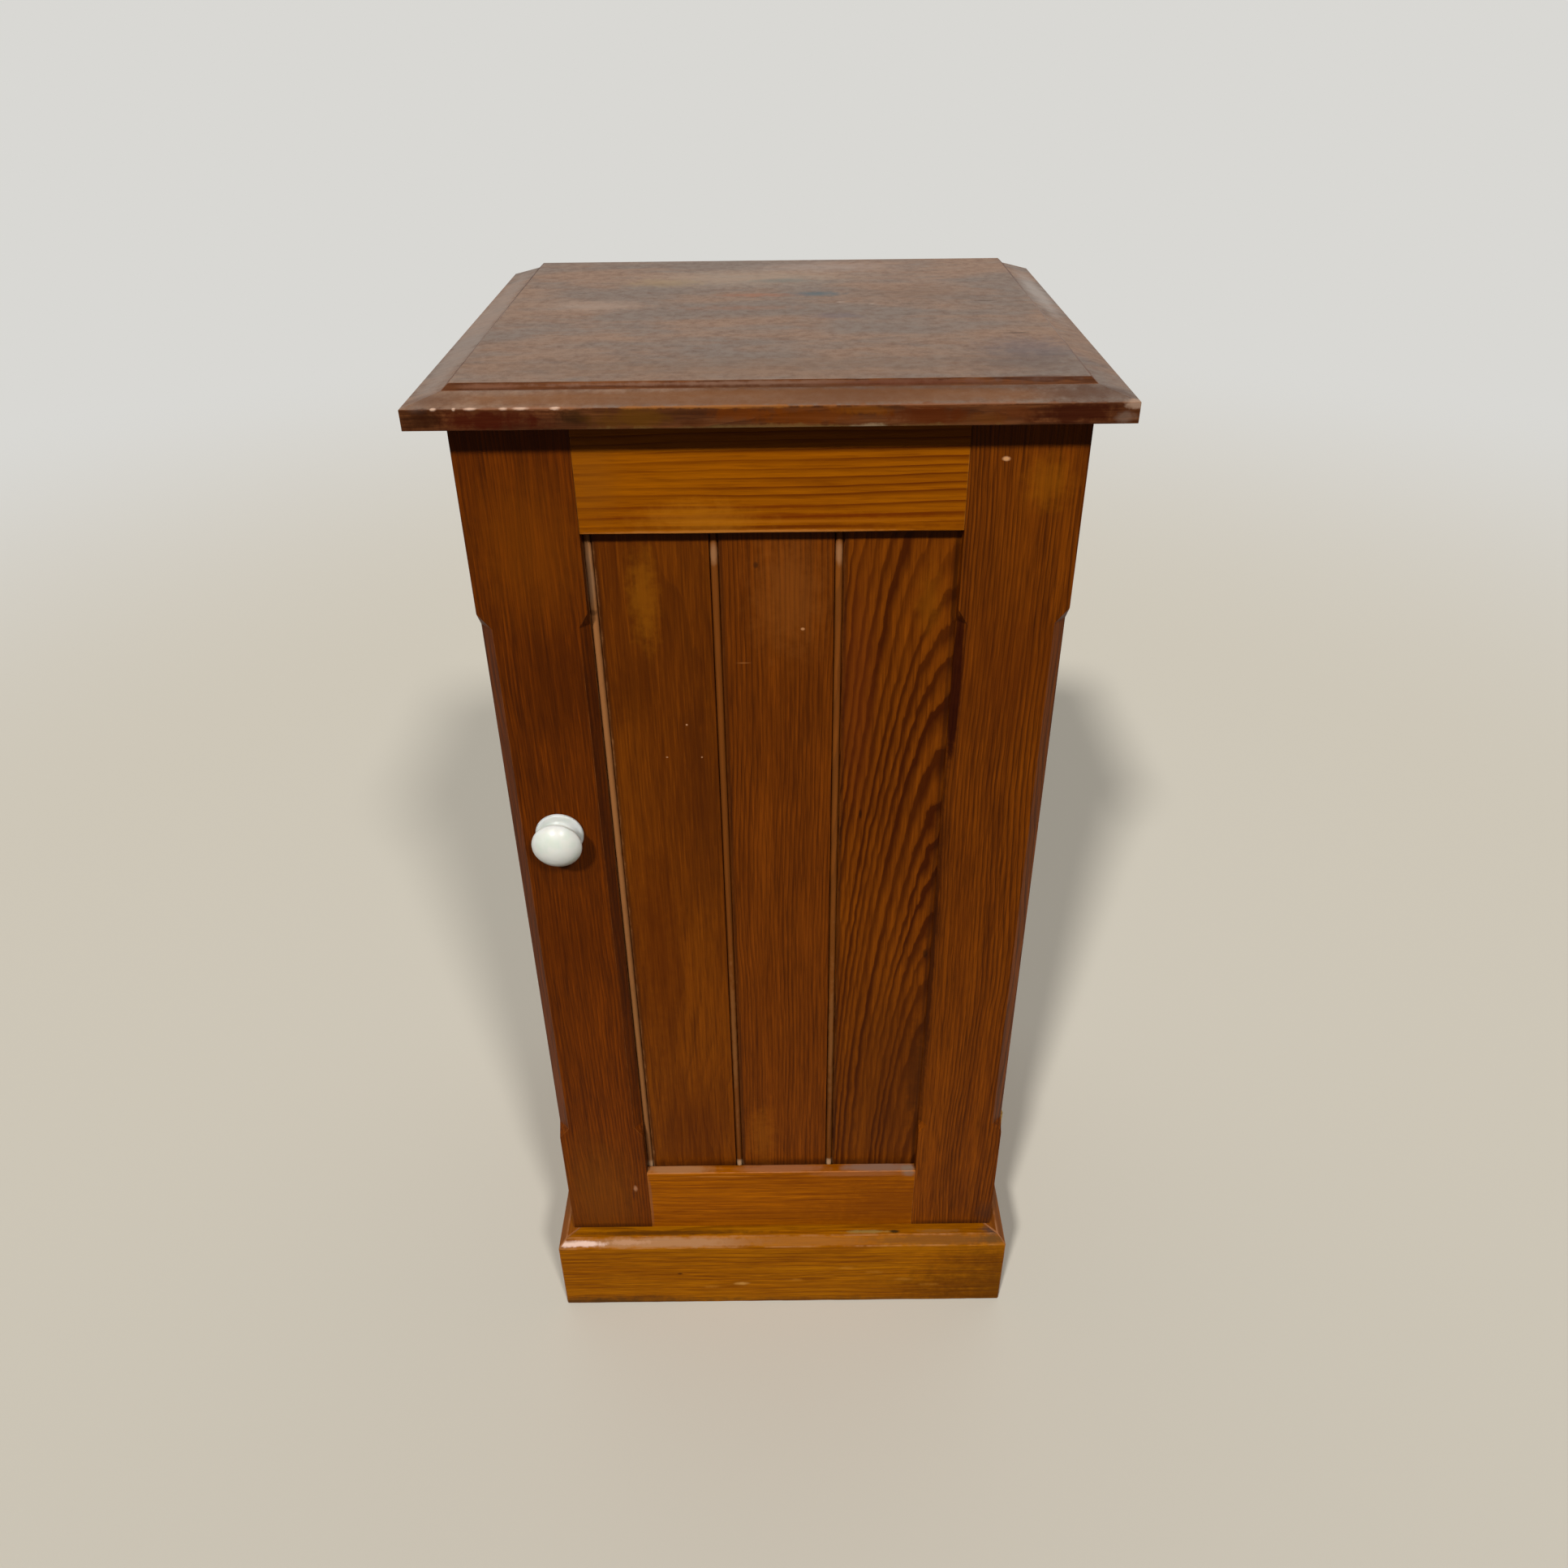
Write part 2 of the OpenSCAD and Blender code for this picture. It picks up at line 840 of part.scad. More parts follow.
// Half profile of the knob: [radius, distance out of the door face]
module knob_profile() {
    difference() {
        union() {
            translate([0, run_gap]) square([knob_foot_r - foot_round, foot_t]);
            translate([knob_foot_r - foot_round, run_gap + foot_t / 2]) circle(r = foot_round);
            difference() {
                translate([0, run_gap + foot_t]) square([neck_r, neck_l]);
                translate([neck_offset, run_gap + foot_t + neck_l / 2]) circle(r = neck_hollow);
            }
            translate([0, cap_z]) square([rim_x, rim_r]);
            translate([rim_x, rim_z]) circle(r = rim_r);
            intersection() {
                translate([0, dome_c]) circle(r = dome_r);
                polygon([
                    [0, rim_z], [rim_x, rim_z], [2 * rim_x, 2 * rim_z - dome_c],
                    [2 * rim_x, 2 * knob_reach], [0, 2 * knob_reach]
                ]);
            }
        }
        translate([-2 * knob_reach, -over]) square([2 * knob_reach, 4 * knob_reach]);
        translate([-over, 0]) square([spindle_r + over, spindle_depth]);
    }
}

module knob() {
    color("#f2f1ec")
    translate([knob_x, door_y, knob_z])
        rotate([90, 0, 0])
            rotate_extrude() knob_profile();
}

// A cylinder on the spindle's axis between two distances back
module on_spindle(r, y) {
    translate([knob_x, y[1], knob_z])
        rotate([90, 0, 0])
            cylinder(r = r, h = y[1] - y[0]);
}

// The squared part of the spindle, which turns the tongue, drawn past both of
// its ends by extra
module spindle_square(extra = 0) {
    block([knob_x - square_w / 2, knob_x + square_w / 2], [tongue_y - extra, nut_y + extra],
          [knob_z - square_w / 2, knob_z + square_w / 2]);
}

module knob_spindle() {
    color("#b08d3e") {
        on_spindle(spindle_r, [door_y - spindle_depth, tongue_y]);
        spindle_square();
        on_spindle(thread_r, [nut_y, nut_y + nut_t + thread_end]);
    }
}

module spindle_washer() {
    color("#b08d3e")
    difference() {
        on_spindle(washer_r, [door_back + run_gap, sleeve_y]);
        on_spindle(spindle_r, [door_back, sleeve_y + over]);
    }
}

module spindle_sleeve() {
    color("#b08d3e")
    difference() {
        on_spindle(sleeve_r, [sleeve_y, tongue_y]);
        on_spindle(spindle_r, [sleeve_y - over, tongue_y + over]);
    }
}

// The tongue hangs down at rest and turns to the left behind the catch block
module latch_tongue() {
    color("#b08d3e")
    difference() {
        union() {
            on_spindle(latch_w / 2, [tongue_y, nut_y]);
            intersection() {
                block([knob_x - latch_w / 2, knob_x + latch_w / 2], [tongue_y, nut_y],
                      [knob_z - latch_l, knob_z]);
                on_spindle(latch_l, [tongue_y - over, nut_y + over]);
            }
        }
        spindle_square(over);
    }
}

module spindle_nut() {
    color("#b08d3e")
    difference() {
        block([knob_x - nut_w / 2, knob_x + nut_w / 2], [nut_y, nut_y + nut_t],
              [knob_z - nut_w / 2, knob_z + nut_w / 2]);
        on_spindle(thread_r, [nut_y - over, nut_y + nut_t + over]);
    }
}

// Two pins in the back of the door: one stops the hanging tongue, and the other
// stops it when it lies level behind the catch block
module latch_stop_pins() {
    color("#b08d3e")
    for (at = [[stop_side, -stop_along], [-stop_along, stop_side]])
        translate([knob_x + at[0], nut_y, knob_z + at[1]])
            rotate([90, 0, 0])
                cylinder(r = stop_r, h = nut_y - door_back + stop_depth);
}

module catch_block() {
    color("#b98a52")
    difference() {
        block([-side_in, -side_in + catch_t], [catch_y0, catch_y1],
              [knob_z - catch_h / 2, knob_z + catch_h / 2]);
        catch_block_nails();
    }
}

module catch_block_nails() {
    color("#4b4743")
    for (dz = [-catch_nail_off, catch_nail_off])
        translate([-side_in + catch_t, (catch_y0 + catch_y1) / 2, knob_z + dz])
            rotate([0, -90, 0])
                fastener(catch_nail, flat_head = true);
}

// ---- The object ----

top_board();
left_side();
right_side();
bottom_board();
shelf();
shelf_bearer_left();
shelf_bearer_right();
bearer_screws();
front_top_rail();
back_top_rail();
top_screws();
top_glue_blocks();
back_board_1();
back_board_2();
back_board_3();
back_board_4();
back_nails();
plinth_front();
plinth_left();
plinth_right();
plinth_back();
plinth_batten();
plinth_corner_blocks();
catch_block();
catch_block_nails();
door_left_stile();
door_right_stile();
door_top_rail();
door_bottom_rail();
door_board_1();
door_board_2();
door_board_3();
door_wedges();
upper_hinge_case_leaf();
upper_hinge_door_leaf();
upper_hinge_pin();
lower_hinge_case_leaf();
lower_hinge_door_leaf();
lower_hinge_pin();
hinge_case_screws();
hinge_door_screws();
knob();
knob_spindle();
spindle_washer();
spindle_sleeve();
latch_tongue();
spindle_nut();
latch_stop_pins();
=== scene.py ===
# %% [markdown]
# # A bedside pot cupboard
#
# This lesson dresses a small pitch-pine cupboard: one wide bevelled top, a
# framed door of three beaded boards, a porcelain knob and a mitred plinth.
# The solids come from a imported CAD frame, so every length is already right.
# What is left is what Blender does best: eased and worn edges, timber that
# looks sawn from a log, old varnish, glaze, brass, light and a camera.

# %% Load the frame
import json
import math
import random

import bmesh
import bpy
from mathutils import Matrix, Vector, noise

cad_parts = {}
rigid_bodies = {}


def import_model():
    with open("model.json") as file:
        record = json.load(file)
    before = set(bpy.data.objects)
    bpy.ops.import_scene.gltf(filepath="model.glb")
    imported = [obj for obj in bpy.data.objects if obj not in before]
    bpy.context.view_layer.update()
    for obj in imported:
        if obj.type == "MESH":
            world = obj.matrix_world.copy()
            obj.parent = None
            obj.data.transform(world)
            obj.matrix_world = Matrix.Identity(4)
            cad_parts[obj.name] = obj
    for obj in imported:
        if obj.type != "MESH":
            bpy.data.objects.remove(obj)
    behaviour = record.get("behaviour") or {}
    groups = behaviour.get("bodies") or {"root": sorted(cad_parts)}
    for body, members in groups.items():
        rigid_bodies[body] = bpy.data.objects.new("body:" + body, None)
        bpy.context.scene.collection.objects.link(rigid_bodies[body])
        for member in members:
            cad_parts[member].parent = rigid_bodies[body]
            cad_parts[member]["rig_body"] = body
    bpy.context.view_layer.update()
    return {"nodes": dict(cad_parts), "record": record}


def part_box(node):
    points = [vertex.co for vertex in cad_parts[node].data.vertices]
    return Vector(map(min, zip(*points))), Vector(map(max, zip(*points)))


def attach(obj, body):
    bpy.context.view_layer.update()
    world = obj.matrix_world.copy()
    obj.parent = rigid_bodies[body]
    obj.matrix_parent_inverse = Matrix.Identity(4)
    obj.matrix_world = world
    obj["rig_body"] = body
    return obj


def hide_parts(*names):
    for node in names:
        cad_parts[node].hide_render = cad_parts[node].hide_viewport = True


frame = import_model()
nodes = frame["nodes"]

# %% [markdown]
# ## Camera
#
# The photograph was taken standing up, close to the cupboard and looking
# down at its front, so the top looks wide and the plinth looks narrow. A
# longer lens from further away could never give that taper. The position,
# the tilt and the lens below were found by fitting the corners of the
# cupboard to the photograph, and the small roll levels the horizon with it.

# %% Camera
EYE = (0.0045, -0.8195, 0.9727)
LOOK_DOWN = math.radians(33.356)
ROLL = math.radians(-0.623)
FOCAL_PIXELS = 1513.1
PHOTO_PIXELS = 1932
SENSOR_MM = 36.0
SHIFT_RIGHT = 0.001
NEAREST = 0.01

lens = bpy.data.cameras.new("camera")
lens.sensor_width = SENSOR_MM
lens.lens = SENSOR_MM * FOCAL_PIXELS / PHOTO_PIXELS
lens.shift_x = SHIFT_RIGHT
lens.clip_start = NEAREST
camera = bpy.data.objects.new("camera", lens)
tilt = Matrix.Rotation(math.pi / 2 - LOOK_DOWN, 4, "X") @ Matrix.Rotation(ROLL, 4, "Z")
camera.matrix_world = Matrix.Translation(EYE) @ tilt
bpy.context.scene.collection.objects.link(camera)
bpy.context.scene.camera = camera
bpy.context.scene.view_settings.view_transform = "Standard"
print("lens", round(lens.lens, 2), "mm")

# %% [markdown]
# ## Writing a finish as a recipe
#
# A procedural material is a tree of small steps. Wiring each node by hand
# takes five lines a node, so a small helper class does the wiring: a number
# or a colour goes into a socket as it is, and another node's output is
# linked. The recipes below then read like arithmetic.


# %% Recipe helper
def paint(red, green, blue):
    """A colour as a paint chart gives it, from 0 to 255, in Blender's linear light."""
    def linear(level):
        share = level / 255
        return share / 12.92 if share <= 0.04045 else ((share + 0.055) / 1.055) ** 2.4
    return (linear(red), linear(green), linear(blue), 1.0)


class Recipe:
    """A tree of nodes, whose methods add a node each and return its output."""

    def __init__(self, holder):
        self.holder = holder
        holder.use_nodes = True
        self.tree = holder.node_tree

    def feed(self, socket, value):
        if isinstance(value, bpy.types.NodeSocket):
            self.tree.links.new(value, socket)
        else:
            socket.default_value = value

    def node(self, kind, **values):
        made = self.tree.nodes.new("ShaderNode" + kind)
        for name, value in values.items():
            self.feed(made.inputs[name], value)
        return made

    def sum(self, how, *values, clamp=False):
        made = self.tree.nodes.new("ShaderNodeMath")
        made.operation = how
        made.use_clamp = clamp
        for socket, value in zip(made.inputs, values):
            self.feed(socket, value)
        return made.outputs[0]

    def vector(self, how, *values):
        made = self.tree.nodes.new("ShaderNodeVectorMath")
        made.operation = how
        for socket, value in zip(made.inputs, values):
            self.feed(socket, value)
        return made.outputs["Value" if how == "LENGTH" else "Vector"]

    def point(self, x, y, z):
        return self.node("CombineXYZ", X=x, Y=y, Z=z).outputs[0]

    def noise(self, where, scale=1.0, detail=2.0, roughness=0.5):
        made = self.node("TexNoise", Vector=where, Scale=scale, Detail=detail, Roughness=roughness)
        return made.outputs[0]

    def band(self, value, low, high):
        """0 below low, 1 above high, and a smooth step between them."""
        made = self.tree.nodes.new("ShaderNodeMapRange")
        made.interpolation_type = "SMOOTHSTEP"
        self.feed(made.inputs["Value"], value)
        made.inputs["From Min"].default_value = low
        made.inputs["From Max"].default_value = high
        return made.outputs[0]

    def blend(self, share, first, second):
        made = self.tree.nodes.new("ShaderNodeMix")
        made.data_type = "RGBA"
        self.feed(made.inputs[0], share)
        self.feed(made.inputs[6], first)
        self.feed(made.inputs[7], second)
        return made.outputs[2]

    def ladder(self, value, steps):
        """Reads a grey value off a ladder of (place, level) steps."""
        made = self.node("ValToRGB", Fac=value)
        rungs = made.color_ramp.elements
        while len(rungs) < len(steps):
            rungs.new(0.5)
        for rung, (place, level) in zip(rungs, steps):
            rung.position = place
            rung.color = (level, level, level, 1)
        return made.outputs[0]

    def finish(self, color=None, roughness=None, height=None, depth=0.0, **fixed):
        shader = self.tree.nodes["Principled BSDF"]
        for name, value in (("Base Color", color), ("Roughness", roughness)):
            if value is not None:
                self.feed(shader.inputs[name], value)
        for name, value in fixed.items():
            shader.inputs[name.replace("_", " ")].default_value = value
        if height is not None:
            bump = self.node("Bump", Height=height, Distance=depth)
            self.tree.links.new(bump.outputs[0], shader.inputs["Normal"])
        return self.holder


def new_recipe(name):
    return Recipe(bpy.data.materials.new(name))


print("a mid brown in linear light:", [round(v, 3) for v in paint(100, 50, 10)])

# %% [markdown]
# ## Timber sawn from a log
#
# Pitch pine shows dark, hard lines of late wood on a paler ground. They are
# the growth rings of a tree, so the recipe grows rings round a heart line
# and lets each board cut through them. Where the heart lies far off and
# runs level with the board the lines come out straight; where it leans,
# they close into the pointed arches of a flat-sawn board. One recipe then
# serves every board, and only the place of the heart and the tones change.
# A board has three tones: its ground, the streaks where the stain took
# darker, and the late wood of the rings. Fibres finer than the rings, some
# darker and some glowing, keep old varnish from looking like plastic.
#
# Marks are soft patches with ragged rims: grime, a pale bead, a stain, a
# dent, and also painted shade in a corner or recess and painted highlights
# where an edge catches the light. The eased edges carry an attribute called
# `eased`, which the recipe uses to wear the varnish thin just there. A
# `bloom` greys only what faces up, where cups and dusters have been, and
# also paints the pale sheen that an upward face catches.

# %% Timber recipe
ALONG = {"X": (2, 1, 0), "Y": (0, 2, 1), "Z": (0, 1, 2)}
RING_SHADE = [(0.0, 0.4), (0.05, 0.03), (0.42, 0.12), (0.72, 0.5), (0.9, 1.0), (1.0, 0.9)]
BROAD_SHADE = [(0.0, 0.7), (0.08, 0.16), (0.34, 0.1), (0.58, 0.55), (0.78, 1.0), (1.0, 0.95)]
GLOW = 1.45
ENDLESS = 9.0


def mark(at, size, tone, amount, ragged, soft=0.9):
    """One soft patch, its tone from 0 to 255; ragged breaks its rim up and soft widens it."""
    return {"at": at, "size": size, "tone": paint(*tone), "amount": amount, "ragged": ragged, "soft": soft}


def marks_on(y, thick):
    """A shorter mark for one upright face, with its place and its size across and up."""
    def at(x, z, wide, high, tone, amount, ragged, soft=0.9):
        return mark((x, y, z), (wide, thick, high), tone, amount, ragged, soft)
    return at


def timber(name, grain, heart, tones, lean=(0.0, 0.0), ring=0.0026, lines=0.7, sway=0.003,
           jag=0.0006, seed=0.0, blotch=0.3, fibre=0.5, marks=(), worn=None, worn_amount=0.5,
           bloom=None, gloss=0.4, shine=0.05, shade=RING_SHADE):
    ground, streak, late = (paint(*tone) for tone in tones)
    make = new_recipe(name)
    whole = make.node("TexCoord").outputs["Object"]
    split = make.node("SeparateXYZ", Vector=whole).outputs
    across, through, length = (split[i] for i in ALONG[grain])

    def cloud_of(wide, long, detail, shift, rough=0.5):
        """Noise with features 1/wide metres across the grain and 1/long metres along it."""
        return make.noise(make.point(make.sum("MULTIPLY_ADD", across, wide, seed + shift),
                                     make.sum("MULTIPLY", through, wide),
                                     make.sum("MULTIPLY", length, long)), detail=detail, roughness=rough)

    def swing(value, reach):
        return make.sum("MULTIPLY", make.sum("SUBTRACT", value, 0.5), reach)

    # Coordinates of the log: the heart line is at 0, 0, and it may lean
    side = make.sum("SUBTRACT", across, make.sum("MULTIPLY_ADD", length, lean[0], heart[0]))
    deep = make.sum("SUBTRACT", through, make.sum("MULTIPLY_ADD", length, lean[1], heart[1]))

    # The trunk wanders, so the rings sway slowly, waver and shiver a little
    wander = make.sum("ADD", swing(cloud_of(9, 3.2, 1.0, 0), sway * 8),
                      make.sum("ADD", swing(cloud_of(46, 15, 2.0, 2), sway * 1.1),
                               swing(cloud_of(170, 48, 2.0, 4), jag * 2)))
    radius = make.sum("ADD", make.vector("LENGTH", make.point(side, deep, 0.0)), wander)

    # Good and bad years make wide and narrow rings, and bold and faint ones
    years = make.noise(make.point(make.sum("MULTIPLY_ADD", radius, 70.0, seed), 0.0, 0.0), detail=2.0)
    count = make.sum("MULTIPLY_ADD", years, 2.4, make.sum("DIVIDE", radius, ring))
    line = make.ladder(make.sum("FRACT", count), shade)
    bold = make.noise(make.point(make.sum("MULTIPLY_ADD", radius, 60.0, seed + 7), 0.0,
                                 make.sum("MULTIPLY", length, 3.0)), detail=1.0)
    strength = make.sum("MULTIPLY", line, make.band(bold, 0.22, 0.62))

    # The stain took in streaks and clouds, and fibres dark and bright run with the grain
    streaks = cloud_of(210, 7, 4.0, 9, 0.65)
    cloud = cloud_of(15, 4.5, 3.0, 3, 0.6)
    fibres = cloud_of(620, 21, 3.0, 5, 0.7)
    hair = cloud_of(1500, 70, 2.0, 6)
    glow = tuple(min(1.0, level * GLOW) for level in ground[:3]) + (1.0,)
    color = make.blend(make.sum("MULTIPLY", make.band(streaks, 0.36, 0.66), fibre), ground, streak)
    color = make.blend(make.sum("MULTIPLY", make.band(cloud, 0.36, 0.7), blotch), color, streak)
    bright = make.sum("SUBTRACT", 1.0, make.band(fibres, 0.3, 0.52))
    color = make.blend(make.sum("MULTIPLY", bright, fibre * 0.8), color, glow)
    color = make.blend(make.sum("MULTIPLY", strength, lines), color, late)
    color = make.blend(make.sum("MULTIPLY", make.band(fibres, 0.5, 0.72), fibre), color, late)
    color = make.blend(make.sum("MULTIPLY", make.band(hair, 0.45, 0.75), fibre * 0.5), color, late)

    # The bloom is dust and a painted sheen: it greys and lightens what faces up, as if it reflected a pale
    # room
    if bloom:
        warm_dust_and_sheen, cool_dust_and_sheen, amount = bloom
        up = make.node("SeparateXYZ", Vector=make.node("NewGeometry").outputs["Normal"]).outputs["Z"]
        patchy = make.sum("MULTIPLY_ADD", cloud_of(70, 24, 4.0, 14, 0.7), 0.5, amount - 0.25)
        grit = make.noise(whole, scale=150.0, detail=4.0, roughness=0.75)
        patchy = make.sum("MULTIPLY_ADD", make.sum("SUBTRACT", grit, 0.5), 1.8, patchy)
        share = make.sum("MULTIPLY", make.band(up, 0.86, 1.0), patchy, clamp=True)
        tone = make.blend(make.band(cloud_of(20, 8, 4.0, 16, 0.65), 0.38, 0.62), paint(*warm_dust_and_sheen), paint(*cool_dust_and_sheen))
        color = make.blend(share, color, tone)

    speck = make.noise(whole, scale=130.0, detail=3.0, roughness=0.65)
    for one in marks:
        near = make.vector("DIVIDE", make.vector("SUBTRACT", whole, one["at"]), one["size"])
        reach = make.sum("MULTIPLY_ADD", make.sum("SUBTRACT", speck, 0.5), one["ragged"],
                         make.vector("LENGTH", near))
        inside = make.sum("SUBTRACT", 1.0, make.band(reach, 1.0 - one["soft"], 1.0))
        color = make.blend(make.sum("MULTIPLY", inside, one["amount"]), color, one["tone"])

    if worn:
        eased = make.tree.nodes.new("ShaderNodeAttribute")
        eased.attribute_name = "eased"
        rubbed = make.band(make.noise(whole, scale=45.0, detail=3.0, roughness=0.7), 0.36, 0.62)
        share = make.sum("MULTIPLY", make.sum("MULTIPLY", eased.outputs["Fac"], rubbed), worn_amount)
        color = make.blend(share, color, paint(*worn))

    # Varnish: satin, duller where the film is thin, with the lines standing a little proud
    dull = make.sum("MULTIPLY_ADD", cloud, 0.1, gloss - 0.05)
    relief = make.sum("MULTIPLY_ADD", strength, 0.5, make.sum("MULTIPLY", fibres, 0.5))
    return make.finish(color, dull, relief, depth=0.00012, Specular_IOR_Level=shine)


# %% [markdown]
# ## Easing the edges of a board
#
# No old board has a knife-sharp edge: planing, polishing and a century of
# dusters round it off, and the thin bright line along an edge is what makes
# a board look solid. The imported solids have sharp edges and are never
# changed, so each board gets a copy. The copy's loose triangles are merged,
# flat areas are joined into whole faces, and then the bevel operator rounds
# every edge that turns sharply. The new narrow faces are marked `eased`.
#
# Wear is never even, so a board may first be cut across by planes at uneven
# steps. The cuts don't show, but they give the rounded edges points along
# their length, and those points sink a little where the noise is high.

# %% Easing helper
SHARP_TURN = math.radians(28)
ROUND_TURN = (math.radians(1), math.radians(20))
FLAT_TURN = math.radians(0.5)
SAME_PLACE = 0.00001
NO_LENGTH = 0.000002
DENTS_PER_METRE = 70
AXIS = {"X": 0, "Y": 1, "Z": 2}


def whole_mesh(node):
    """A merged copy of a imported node's mesh, as a bmesh with flat areas joined."""
    shape = bmesh.new()
    shape.from_mesh(nodes[node].data)
    bmesh.ops.remove_doubles(shape, verts=shape.verts, dist=SAME_PLACE)
    bmesh.ops.dissolve_limit(shape, angle_limit=FLAT_TURN, use_dissolve_boundaries=False,
                             verts=shape.verts, edges=shape.edges)
    return shape


def turn_of(edge):
    return edge.calc_face_angle(0) if len(edge.link_faces) == 2 else 0


def shade_round(shape):
    """Smooth shading on faces that belong to a curve, flat shading on the others."""
    for face in shape.faces:
        gentle = [e for e in face.edges if ROUND_TURN[0] < turn_of(e) < ROUND_TURN[1]]
        face.smooth = face.smooth or len(gentle) >= 2


def place(shape, name, body, slot, material, stands_for):
    """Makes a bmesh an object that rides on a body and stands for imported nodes."""
    mesh = bpy.data.meshes.new(name)
    shape.to_mesh(mesh)
    shape.free()
    piece = bpy.data.objects.new(name, mesh)
    bpy.context.scene.collection.objects.link(piece)
    mesh.materials.append(material)
    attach(piece, body)
    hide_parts(*stands_for)
    return piece


def body_of_node(node):
    return nodes[node]["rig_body"]


def slot_of_node(node):
    return next(s["material_slot"] for s in frame["record"]["subparts"] if s["node"] == node)


def cut_across(shape, axis, step, clear):
    """Cuts a board at uneven steps along an axis, but never close to one of its corners."""
    corners = sorted({round(v.co[axis], 5) for v in shape.verts})
    normal = Vector([1.0 if i == axis else 0.0 for i in range(3)])
    at = corners[0] + step
    while at < corners[-1] - step / 2:
        if min(abs(at - corner) for corner in corners) > clear:
            bmesh.ops.bisect_plane(shape, geom=shape.verts[:] + shape.edges[:] + shape.faces[:],
                                   plane_co=normal * at, plane_no=normal)
        at += step * random.uniform(0.6, 1.4)


def eased_board(node, material, radius=0.0006, steps=2, cuts=None, wear=0.0):
    """A copy of a board with every sharp edge rounded; cuts is (axis, step) and wear a depth."""
    shape = whole_mesh(node)
    if cuts:
        cut_across(shape, AXIS[cuts[0]], cuts[1], radius * 3)
    mask = shape.faces.layers.float.new("eased")
    shade_round(shape)
    sharp = [e for e in shape.edges if turn_of(e) > SHARP_TURN]
    made = bmesh.ops.bevel(shape, geom=sharp, offset=radius, offset_type="OFFSET", segments=steps,
                           profile=0.5, affect="EDGES", clamp_overlap=True, material=-1)
    for face in made["faces"]:
        width = face.calc_area() / max(edge.calc_length() for edge in face.edges)
        face[mask] = 1.0 if width < radius else 0.0
        face.smooth = face.smooth or width < radius
    # Beside a bead the bevel can fold a sliver with no area, which this takes out
    bmesh.ops.dissolve_degenerate(shape, dist=NO_LENGTH, edges=shape.edges[:])
    if wear:
        shape.normal_update()
        for corner in shape.verts:
            if all(face[mask] for face in corner.link_faces):
                dent = max(0.0, noise.noise(corner.co * DENTS_PER_METRE) + 0.15)
                corner.co -= corner.normal * dent * wear
    return place(shape, node + "_eased", body_of_node(node), slot_of_node(node), material, [node])


# %% [markdown]
# ## The top board
#
# One wide board with its grain running from side to side. Its front edge
# still has its red and ochre varnish, but the field has lost it to cups and
# dusters: there the ground is a greyed brown, lightened by a painted sheen,
# with a faint blue bloom left by something wet, a few dark flecks and a
# scratch. The step round the field has painted shade and dirt in its inner
# corner, and the arris in front of it is worn pale, with a painted highlight.

# %% Top board
random.seed(11)
top_low, top_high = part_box("top_board")
front_y, field_z = top_low.y, top_high.z
arris_z = field_z - 0.0077
edge_z = (top_low.z + arris_z) / 2
step_y = front_y + 0.0208
step_x = top_high.x - 0.0208
on_edge = marks_on(front_y, 0.004)
on_arris = marks_on(front_y + 0.0005, 0.0018)


def on_field(x, y, wide, deep, tone, amount, ragged, soft=0.9):
    return mark((x, y, field_z), (wide, deep, 0.02), tone, amount, ragged, soft)


